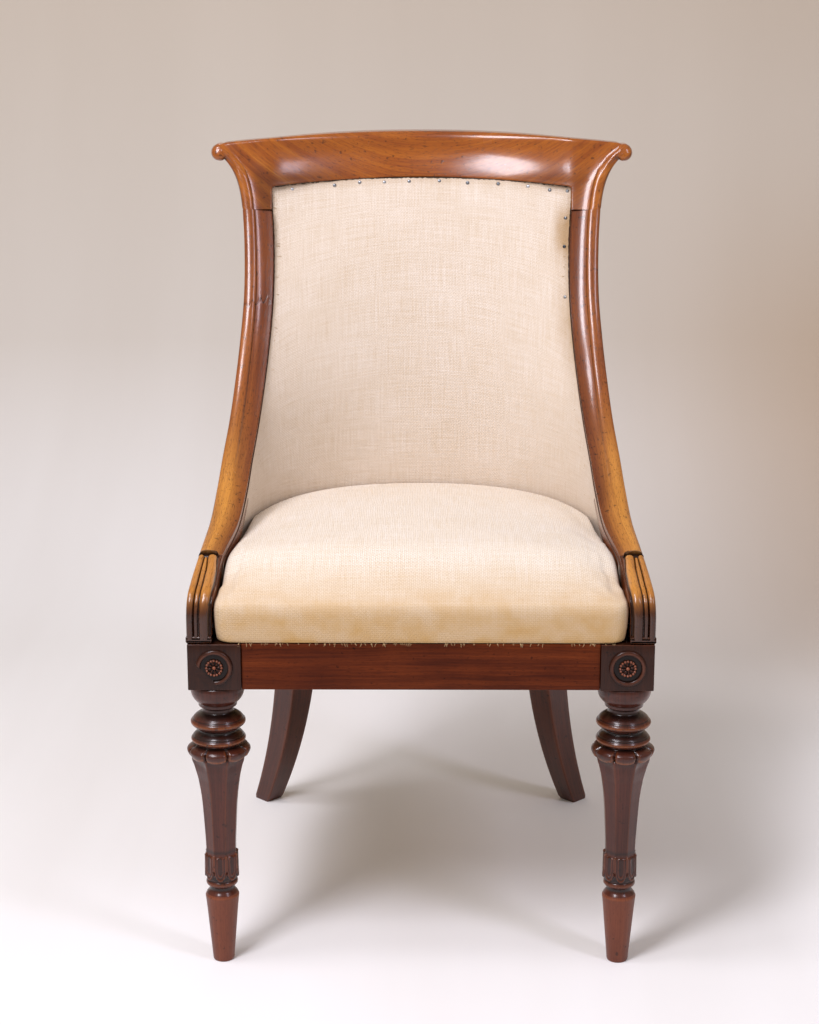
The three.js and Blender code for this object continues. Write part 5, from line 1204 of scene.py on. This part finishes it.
def seat_shell(inset=0.0):
    """The seat as loops about its hub, each a scale of the outline at a height.

    They go from the middle of the underside out to the rail, up the swelling wall, round the
    shoulder and in over the crowned top to its middle.
    """
    outline = seat_outline(280)
    base = seat_base(outline[:, 1])
    slip = inset / seat_half
    rows = []

    def loop_at(scale, height):
        """Adds the outline at a scale about the hub and at a height."""
        y = mix(seat_hub, outline[:, 1], scale)
        rows.append(np.stack([outline[:, 0] * scale, y, height + 0 * base], -1))

    for scale in [0.0, 0.05] + list(np.linspace(0.1, 0.93, 24)):
        loop_at(scale, mix(391.4, 431.8, smooth((0.94 - scale) / 0.7)))
    loop_at(0.965, 389.9)
    loop_at(0.992 - slip, seat_foot)
    for up in np.linspace(0.04, 0.8, 14):
        swell = seat_swell / seat_half * math.sin(math.pi * min(up * 0.62 + 0.06, 1)) ** 0.7
        loop_at(0.996 + swell - slip, mix(seat_foot, base, up))
    start = 0.996 + seat_swell / seat_half * math.sin(math.pi * 0.556) ** 0.7
    for angle in np.linspace(0, math.pi / 2, 14)[1:]:
        scale = mix(start, 0.945, 1 - math.cos(angle)) - slip
        crown = seat_crown * (1 - scale**2) * (1 - math.cos(angle))
        loop_at(scale, mix(seat_foot, base, 0.8 + 0.2 * math.sin(angle)) + crown)
    for scale in np.concatenate([np.linspace(0.92, 0.1, 44), [0.05, 0.0]]):
        y = mix(seat_hub, outline[:, 1], scale)
        loop_at(scale, seat_base(y) + seat_crown * (1 - scale**2))
    p = np.array(rows)
    return sheetwise(p[..., 0], p[..., 1], p[..., 2], p[..., 0], p[..., 1])


def held_in(points, wall, gap=0.0012):
    """Keeps seat points off the tub and the stiles, in metres.

    A ray along +Y finds the inside of the back. Beside a stile, the nearest place on its face
    line gives its inner edge there, and the point's X is held short of it.
    """
    for i in np.nonzero(points[:, 1] > leg_line + 0.02)[0]:
        hit = wall.ray_cast(Vector((points[i, 0], leg_line - 0.2, points[i, 2])), Vector((0, 1, 0)))
        if hit[0] is not None:
            points[i, 1] = min(points[i, 1], hit[0].y - gap)
    beside = np.nonzero((np.abs(points[:, 0]) > 0.17) & (points[:, 1] > leg_line + 0.001))[0]
    shares = np.linspace(0, 0.5, 300)
    line = bezier(sweep_pulls, shares)
    yz = (points[beside][:, 1:] - [leg_line, 0]) * 1000
    nearest = np.hypot(yz[:, None, 0] - line[None, :, 0], yz[:, None, 1] - line[None, :, 1]).argmin(1)
    limit = (stile_inner(shares[nearest]) - 0.8) * 0.001
    points[beside, 0] = np.sign(points[beside, 0]) * np.minimum(np.abs(points[beside, 0]), limit)
    return points


def vertex_array(mesh):
    """The places of a mesh's vertices, in metres."""
    points = np.empty(len(mesh.vertices) * 3, dtype=np.float32)
    mesh.vertices.foreach_get("co", points)
    return points.reshape(-1, 3).astype(float)


def blow_up(seat, reach):
    """Blows a closed form up as cloth, held where it is nailed, with no point moved past reach."""
    bpy.context.view_layer.objects.active = seat
    seat.select_set(True)
    seat.data.remesh_voxel_size = 0.005
    bpy.ops.object.voxel_remesh()
    start = vertex_array(seat.data)
    out = np.empty(start.size, dtype=np.float32)
    seat.data.vertices.foreach_get("normal", out)
    out = out.reshape(-1, 3)
    # Held where it is nailed down, and on its underside.
    nailed = seat.vertex_groups.new(name="nailed")
    inner = (start[:, 2] < 0.436) & (np.abs(start[:, 0]) < 0.195) & (start[:, 1] > leg_line + 0.01)
    nailed.add(np.nonzero((start[:, 2] < 0.396) | inner)[0].tolist(), 1.0, "REPLACE")
    cloth = seat.modifiers.new("cloth", "CLOTH")
    cloth.settings.vertex_group_mass = "nailed"
    cloth.settings.use_pressure = True
    cloth.settings.uniform_pressure_force = 4
    cloth.settings.effector_weights.gravity = 0
    for step in range(1, 21):
        bpy.context.scene.frame_set(step)
    view = seat.evaluated_get(bpy.context.evaluated_depsgraph_get())
    shift = vertex_array(view.data) - start
    # Only the movement outwards is kept, so that the stuffing never sinks.
    shift -= np.minimum((shift * out).sum(1, keepdims=True), 0) * out
    seat.modifiers.remove(cloth)
    seat.vertex_groups.clear()
    bpy.context.scene.frame_set(1)
    size = np.linalg.norm(shift, axis=1, keepdims=True)
    shift *= np.minimum(1, reach / np.maximum(size, 1e-9))
    seat.data.vertices.foreach_set("co", (start + shift).ravel())
    finer = seat.modifiers.new("finer", "SUBSURF")
    finer.levels = finer.render_levels = 1
    bpy.ops.object.modifier_apply(modifier="finer")
    bpy.ops.object.select_all(action="DESELECT")


def stuffed_seat(wall):
    """The seat: its closed form blown up a little as cloth, held at the rail, then kept off the back."""
    form = seat_shell(0.3)
    seat = piece("seat", [form], seat_hessian, ("seat_cover", "seat_stuffing"), crease=80)
    seat.data.vertices.foreach_set("co", held_in(vertex_array(seat.data), wall, 0.0030).ravel())
    blow_up(seat, 0.0022)
    seat.data.vertices.foreach_set("co", held_in(vertex_array(seat.data), wall).ravel())
    mesh = seat.data
    mesh.shade_smooth()
    mm = (vertex_array(mesh) - [0, leg_line, 0]) * 1000
    # Cloth coordinates: the plan place, with the drop below the shoulder laid outwards.
    drop = np.maximum(seat_base(mm[:, 1]) - 4 - mm[:, 2], 0)
    out_front = smooth((seat_front + 30 - mm[:, 1]) / 26)
    u = mm[:, 0] + np.sign(mm[:, 0]) * drop * (1 - out_front)
    v = mm[:, 1] - drop * out_front
    loops = np.empty(len(mesh.loops), dtype=np.int32)
    mesh.loops.foreach_get("vertex_index", loops)
    if "grain" not in mesh.uv_layers:
        mesh.uv_layers.new(name="grain")
    mesh.uv_layers["grain"].data.foreach_set("uv", (np.stack([u, v], -1)[loops] * 0.001).ravel())
    # Soil and painted shade: the front wall darkens below the shoulder, as it does under light from above,
    # and more at its foot.
    soiled_and_shaded = 0.95 * smooth((482 - mm[:, 2]) / 76) * smooth((60 - mm[:, 1]) / 40)
    soiled_and_shaded = soiled_and_shaded + 0.3 * smooth((396 - mm[:, 2]) / 6)
    # The second mark paints the seat's lowest edge dark, as the shade in the gap at the rail.
    marks = {"dirt_and_shade": soiled_and_shaded, "wear_and_painted_light": smooth((391.4 - mm[:, 2]) / 1.6)}
    for mark, values in marks.items():
        if mark not in mesh.attributes:
            mesh.attributes.new(mark, "FLOAT", "POINT")
        mesh.attributes[mark].data.foreach_set("value", np.clip(values, 0, 1).astype(np.float32))
    mesh.update()


def tack_shells(points, ways):
    """Small domed heads, each a cap of rings about its own outward way."""
    rings = np.array([(0, 1.5), (1.0, 1.35), (1.8, 1.0), (2.3, 0.45), (2.5, 0.0), (2.3, -0.5), (0, -0.6)])
    a = np.radians(np.linspace(0, 360, 11))
    shells = []
    for p, way in zip(points, ways):
        way = way / np.linalg.norm(way)
        side = np.cross(way, [0, 0, 1.0])
        side /= np.linalg.norm(side)
        over = np.cross(side, way)
        spokes = np.cos(a)[None, :, None] * side + np.sin(a)[None, :, None] * over
        grid = p + rings[:, None, :1] * spokes + rings[:, None, 1:] * way
        shells.append(sheetwise(grid[..., 0], grid[..., 1], grid[..., 2], a[None, :], rings[:, :1]))
    return shells


def tube(path, radius, sides, thin=1.0):
    """A round tube along a path, thin times as wide at its end as at its start.

    Its rings are square to the path, by parallel transport of one side way.
    """
    path = np.asarray(path, float)
    way = np.gradient(path, axis=0)
    way /= np.linalg.norm(way, axis=1, keepdims=True)
    side = np.cross(way[0], [0.3, 0.5, 0.81])
    sides_way = []
    for w in way:
        side = side - w * np.dot(side, w)
        side /= np.linalg.norm(side)
        sides_way.append(side)
    sides_way = np.array(sides_way)
    over = np.cross(way, sides_way)
    a = np.radians(np.linspace(0, 360, sides + 1))
    spokes = np.cos(a)[None, :, None] * sides_way[:, None] + np.sin(a)[None, :, None] * over[:, None]
    grid = path[:, None] + (radius * np.linspace(1, thin, len(path)))[:, None, None] * spokes
    run = run_over(path)
    return capped(sheetwise(grid[..., 0], grid[..., 1], grid[..., 2], run[:, None], a[None, :] * radius))


# inside the seat and the back

deck_low, deck_middle, deck_half = cloth_foot, 430.0, 218.6
web_width, web_thickness = 50.0, 1.5
web_level = 334.6
web_across = np.array([-0.66, -0.22, 0.22, 0.66]) * 172.8
web_along = mix(block_half, frame_depth - back_rail_thickness, np.array([0.17, 0.38, 0.59, 0.8]))
# Nine places across a strap, with a dark stripe near each edge.
web_step = np.linspace(-1, 1, 9)[None, :]
web_stripe = 0.8 * hump(np.abs(web_step), 0.72, 0.12)
spring_radius, spring_waist, spring_wire = 38.0, 24.0, 1.7
spring_place_shares = {
    "front_left": (-0.4, 0.3), "front_right": (0.4, 0.3), "middle": (0, 0.5),
    "back_left": (-0.36, 0.7), "back_right": (0.36, 0.7),
}


def deck_height(x, y):
    """The hessian over the springs: flat on the rails, then a smooth dome."""
    scale = np.hypot(x / deck_half, (y - seat_hub) / ((seat_back - seat_front) / 2))
    return mix(deck_low, deck_middle, smooth((0.94 - scale) / 0.7))


def deck_shell():
    """The spring deck: two like grids a cloth's thickness apart, dimpled a little over each spring."""
    outline = seat_outline(200) * [deck_half / seat_half, 1]
    scale = np.concatenate([np.linspace(0.03, 0.9, 40), [0.92, 0.935]])[:, None]
    x, y = outline[None, :, 0] * scale, mix(seat_hub, outline[None, :, 1], scale)
    z = mix(deck_low, deck_middle, smooth((0.94 - scale) / 0.7)) + 0 * x
    for across, back in spring_place_shares.values():
        away = np.hypot(x - across * deck_half, y - mix(seat_front, seat_back, back))
        z = z - 0.35 * hump(away, spring_radius, 6)
    return slab(sheetwise(x, y, z, x, y), sheetwise(x, y, z + 1.4 * smooth(scale / 0.08) + 0.2, x, y))


def strap_shell(middle, way_over, u, v):
    """One webbing strap as two like grids, carried across from its middle line."""
    p = middle[:, None, :] + web_step[..., None] * way_over * web_width / 2
    u = u + web_step * web_width / 2
    faces = [
        sheetwise(p[..., 0], p[..., 1], p[..., 2] + side * web_thickness / 2, u, v[:, None], web_stripe)
        for side in (-1, 1)
    ]
    return slab(*faces)


def seat_strap_shells():
    """Eight straps under the seat, four each way, over and under in turn by a bell at each crossing."""
    shells, length = [], 0
    for i, x in enumerate(web_across):
        corner = np.array([(abs(x) + web_width / 2) / side_rail_out])
        reach = frame_line(corner, back_rail_thickness)[0, 1] + 18
        y = np.linspace(-8, reach, 120)
        lift = sum((1 if (i + k) % 2 else -1) * hump(y, cross, 30) for k, cross in enumerate(web_along))
        middle = np.stack([np.full(120, x), y, web_level + 0.76 * lift], 1)
        shells.append(strap_shell(middle, np.array([1.0, 0, 0]), x, y))
        length += reach + 8
    for k, y in enumerate(web_along):
        across = np.linspace(0.3, 0.999, 400)
        inner = frame_line(across, side_rail_thickness)
        reach = float(np.interp(-(y + web_width / 2), -inner[:, 1], inner[:, 0])) + 18
        x = np.linspace(-reach, reach, 120)
        lift = sum((-1 if (i + k) % 2 else 1) * hump(x, cross, 30) for i, cross in enumerate(web_across))
        middle = np.stack([x, np.full(120, y), web_level + 0.76 * lift], 1)
        shells.append(strap_shell(middle, np.array([0, 1.0, 0]), y, x))
        length += 2 * reach
    return shells, length


def back_strap_shells():
    """Five straps up the back behind the pad, each between two like grids of the tub's inside."""
    up = np.linspace(0, 0.98, 70)[:, None]
    # About half the width of the tub's inside, the same for every strap and height.
    tub_half = 199.6
    shells, length = [], 0
    for centre in (-0.6, -0.3, 0, 0.3, 0.6):
        across = centre + web_step * web_width / 2 / tub_half
        grids = [inside_point(across, up, 1.0, off) for off in (4.0, 5.5)]
        v = run_over(np.stack(grids[0], -1)[:, 4])
        u = web_step * web_width / 2
        shells.append(slab(*(sheetwise(*grid, u, v[:, None], web_stripe) for grid in grids)))
        length += v[-1]
    return shells, length


def spring_shell(across, back):
    """A waisted coil of five turns: the radius grows from the waist with the square of the distance."""
    x, y = across * deck_half, mix(seat_front, seat_back, back)
    around = np.linspace(0, 2 * math.pi, 17)
    rim = deck_height(x + spring_radius * np.cos(around), y + spring_radius * np.sin(around)).min()
    share = np.linspace(0, 1, 5 * 26 + 1)
    angle = 10 * math.pi * share
    wide = mix(spring_waist, spring_radius, (2 * share - 1) ** 2)
    z = mix(leg_height + spring_wire, rim - 2 * spring_wire, smooth(share))
    return tube(np.stack([x + wide * np.cos(angle), y + wide * np.sin(angle), z], 1), spring_wire, 8)


def thread_shells(starts, ways, lengths, curls):
    """Loose ends of jute: each path leaves along its way and curls aside by a sine."""
    shells = []
    share = np.linspace(0, 1, 6)[:, None]
    for start, way, length, curl in zip(starts, ways, lengths, curls):
        way = way / np.linalg.norm(way)
        aside = np.cross(way, [0.2, 0.9, 0.4])
        droop = np.array([0, 0, -0.25]) * length * share**2
        path = start + way * length * share + aside * curl * np.sin(share * 3.0) + droop
        shells.append(tube(path, 0.34, 4, 0.5))
    return shells


# making the pieces

piece("crest", crest_shells(), crest_mahogany, ("crest_rail",))
block, turned, foot = leg_shells()
for hand, word in ((-1, "left"), (1, "right")):
    leg_node = f"front_leg_{word}"
    for name, shells, finish, slot, node, crease in (
        ("swept_stile", stile_shells(hand), stile_mahogany, "polished_mahogany", f"stile_{word}", 38),
        ("turned_front_leg", [turned], leg_mahogany, "dark_mahogany", leg_node, 60),
        ("turned_foot", [foot], foot_mahogany, "dark_mahogany", leg_node, 60),
        ("leg_block", [block], block_mahogany, "dark_mahogany", leg_node, 38),
        ("carved_patera", [patera_shell(hand)], block_mahogany, "dark_mahogany", f"patera_{word}", 60),
        ("sabre_back_leg", [sabre_shell()], sabre_mahogany, "dark_mahogany", f"back_leg_{word}", 38),
    ):
        piece(f"{name}_{word}", shells, finish, (node,), hand, crease)
front_rail, side_rail, back_rail = rail_shells()
piece("front_rail", front_rail, rail_mahogany, ("front_seat_rail",))
piece("side_rail_left", side_rail, rail_mahogany, ("side_seat_rail_left",), side=-1)
piece("side_rail_right", side_rail, rail_mahogany, ("side_seat_rail_right",))
piece("back_rail", back_rail, rail_mahogany, ("back_seat_rail",))

back_nodes = ("inside_back_cover", "back_stuffing")
inside_back = piece("inside_back", [inside_back_shell()], back_hessian, back_nodes, crease=60)
outside_nodes = ("outside_back_cover",)
outside_shells = [outside_back_shell()]
outside_back = piece("outside_back", outside_shells, back_hessian, outside_nodes, crease=60)

bpy.context.view_layer.update()
wall = BVHTree.FromObject(inside_back, bpy.context.evaluated_depsgraph_get())
stuffed_seat(wall)

deck_nodes = ("spring_deck_hessian",)
deck = piece("spring_deck", [deck_shell()], deck_hessian, deck_nodes, crease=60)
straps, strap_run = seat_strap_shells()
webbing = piece("interlaced_seat_webbing", straps, jute_webbing, ("seat_webbing",), crease=60)
straps, strap_run = back_strap_shells()
web_nodes = [f"back_web_{i}" for i in range(1, 6)]
webbing = piece("back_webbing_straps", straps, jute_webbing, web_nodes, crease=60)
for word, (across, back) in spring_place_shares.items():
    coil = spring_shell(across, back)
    piece(f"coil_spring_{word}", [coil], spring_steel, (f"seat_spring_{word}",), crease=60)

# Tacks: a row along the top edge and a few down the right edge.
top_shares = np.array([-0.866, -0.586, -0.417, -0.251, -0.083, 0.121, 0.311, 0.517, 0.716, 0.86, 0.975])
tack_across = np.concatenate([top_shares, np.full(3, 0.972)])
tack_up = np.concatenate([0.9905 - 0.0015 * np.sin(np.arange(11) * 2.3), [0.945, 0.892, 0.79]])
spots = np.stack(inside_point(tack_across, tack_up, 0, 0), -1)
ahead = np.stack(inside_point(tack_across, tack_up, 0, -1), -1)
piece("tacks", tack_shells(spots, ahead - spots), tack_iron, crease=60)

# Loose thread ends: down both edges of the back, and along the seat's lower edge.
count, low_count = 84, 90
edge_up = np.tile(draws.uniform(0.24, 0.985, count), 2)
edge_side = np.repeat([-1.0, 1.0], count) * draws.uniform(0.955, 0.985, 2 * count)
starts = np.stack(inside_point(edge_side, edge_up, 0, -0.2), -1)
ways = np.stack([np.sign(edge_side) * 1.0, -0.35 + 0 * edge_up, draws.uniform(-1.2, 0.8, 2 * count)], -1)
threads = thread_shells(starts, ways, draws.uniform(2.5, 6.5, 2 * count), draws.uniform(-1, 1, 2 * count))
low_x = draws.uniform(-214, 214, low_count)
starts = np.stack([low_x, np.full(low_count, seat_front - 0.6), np.full(low_count, 390.4)], -1)
ways = np.stack([draws.uniform(-0.8, 0.8, low_count), np.full(low_count, -0.5), np.full(low_count, -1.0)], -1)
lengths, curls = draws.uniform(1.0, 3.6, low_count), draws.uniform(-0.6, 0.6, low_count)
threads += thread_shells(starts, ways, lengths, curls)
piece("frayed_threads", threads, deck_hessian, crease=60)

lying = ["corner_block_left", "corner_block_right", "back_stay_rail"]
standing = ["back_upright_left", "back_upright_right", "crest_dowel_left", "crest_dowel_right"]
standing += ["terminal_dowel_left", "terminal_dowel_right"]
for names, finish in ((lying, lying_beech), (standing, standing_beech)):
    for node in names:
        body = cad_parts[node]
        body.data.materials.clear()
        body.data.materials.append(finish)

# stage, light and camera

# Pale brushed cotton, darker towards its top.
backdrop, t = new_finish("cotton_backdrop_painted_shadow")
place = add(t, "SeparateXYZ", add(t, "TexCoord", out=3))
height = add(t, "MapRange", place.node.outputs[2], 0.0, 1.6, 0.0, 1.0)
cotton = add(t, "ValToRGB", height, stops=[(0.0, "#f4f3f3"), (0.25, "#d7d0c8"), (1.0, "#c9bba9")])
# Soft upright folds are painted as darker bands of shade, and the chair's shadow is painted warm and dark on
# the cloth to the right behind the chair.
folds = add(t, "Mapping", place.node.inputs[0].links[0].from_socket, named={"Scale": (5.0, 0.7, 0.7)})
folds = add(t, "TexNoise", folds, named={"Scale": 1.0, "Detail": 3.0})
folds = add(t, "MapRange", folds, 0.3, 0.7, 0.0, 0.10)
cotton = add(t, "Mix", named={"Factor": folds, 6: cotton, 7: tone("#b5a898")}, data_type="RGBA", out=2)
to_right = add(t, "MapRange", place, 0.1, 1.1, 0.0, 0.75, interpolation_type="SMOOTHSTEP")
low = add(t, "MapRange", place.node.outputs[2], 0.9, 0.25, 0.2, 1.0, interpolation_type="SMOOTHSTEP")
behind = add(t, "MapRange", place.node.outputs[1], 0.3, 1.2, 0.0, 1.0, interpolation_type="SMOOTHSTEP")
painted_chair_shadow = add(t, "Math", add(t, "Math", to_right, low, operation="MULTIPLY"), behind, operation="MULTIPLY")
cotton = add(t, "Mix", named={"Factor": painted_chair_shadow, 6: cotton, 7: tone("#b39470")}, data_type="RGBA", out=2)
cotton = add(t, "BsdfPrincipled", named={"Base Color": cotton, "Roughness": 0.95, "Specular IOR Level": 0.1})
# From behind it is clear, so that the chair's back can be looked at.
behind = add(t, "NewGeometry", out=6)
add(t, "OutputMaterial", add(t, "MixShader", behind, cotton, add(t, "BsdfTransparent")))

# The floor, a quarter round of 1.1 m and the wall, in metres.
bend = [(0.9 + 1.1 * math.sin(a), 1.1 * (1 - math.cos(a))) for a in np.radians(np.linspace(0, 90, 25))[1:]]
profile = [(-5.0, 0.0), (-1.0, 0.0), (0.9, 0.0), *bend, (2.0, 5.0)]
floor_mesh = bpy.data.meshes.new("backdrop")
verts = [(x, y, z) for y, z in profile for x in (-5.0, 5.0)]
faces = [(2 * i, 2 * i + 1, 2 * i + 3, 2 * i + 2) for i in range(len(profile) - 1)]
floor_mesh.from_pydata(verts, [], faces)
floor_mesh.shade_smooth()
floor = bpy.data.objects.new("backdrop", floor_mesh)
bpy.context.scene.collection.objects.link(floor)
floor_mesh.materials.append(backdrop)


def window_light(name, place, aim, size, power, colour):
    """A soft rectangular light that faces a point of the chair."""
    data = bpy.data.lights.new(name, "AREA")
    data.shape = "RECTANGLE"
    data.size, data.size_y = size
    data.energy = power
    data.color = tone(colour)[:3]
    lamp = bpy.data.objects.new(name, data)
    lamp.location = place
    lamp.rotation_euler = (Vector(aim) - Vector(place)).to_track_quat("-Z", "Y").to_euler()
    bpy.context.scene.collection.objects.link(lamp)


window_light("left_window", (-0.95, -1.5, 2.5), (0, 0, 0.6), (0.62, 1.3), 56, "#f8f6ff")
window_light("roof_window", (-1.0, -0.55, 3.05), (0, 0, 0.5), (0.6, 0.6), 20, "#f8f6ff")
window_light("right_window", (1.53, -1.48, 2.45), (0, 0, 0.7), (0.36, 1.2), 17, "#eceaff")

world = bpy.data.worlds.new("studio")
world.use_nodes = True
world.node_tree.nodes.clear()
add(world.node_tree, "OutputWorld", add(world.node_tree, "Background", tone("#fff8ef"), 0.42))
bpy.context.scene.world = world

lens = bpy.data.cameras.new("camera")
lens.sensor_fit = "VERTICAL"
lens.sensor_height = 36
lens.lens = 70.3
camera = bpy.data.objects.new("camera", lens)
camera.location = (0, leg_line - 2.119, 1.0642)
camera.rotation_euler = (math.radians(75.9), 0, math.radians(0.341))
bpy.context.scene.collection.objects.link(camera)
bpy.context.scene.camera = camera
bpy.context.scene.view_settings.view_transform = "Standard"
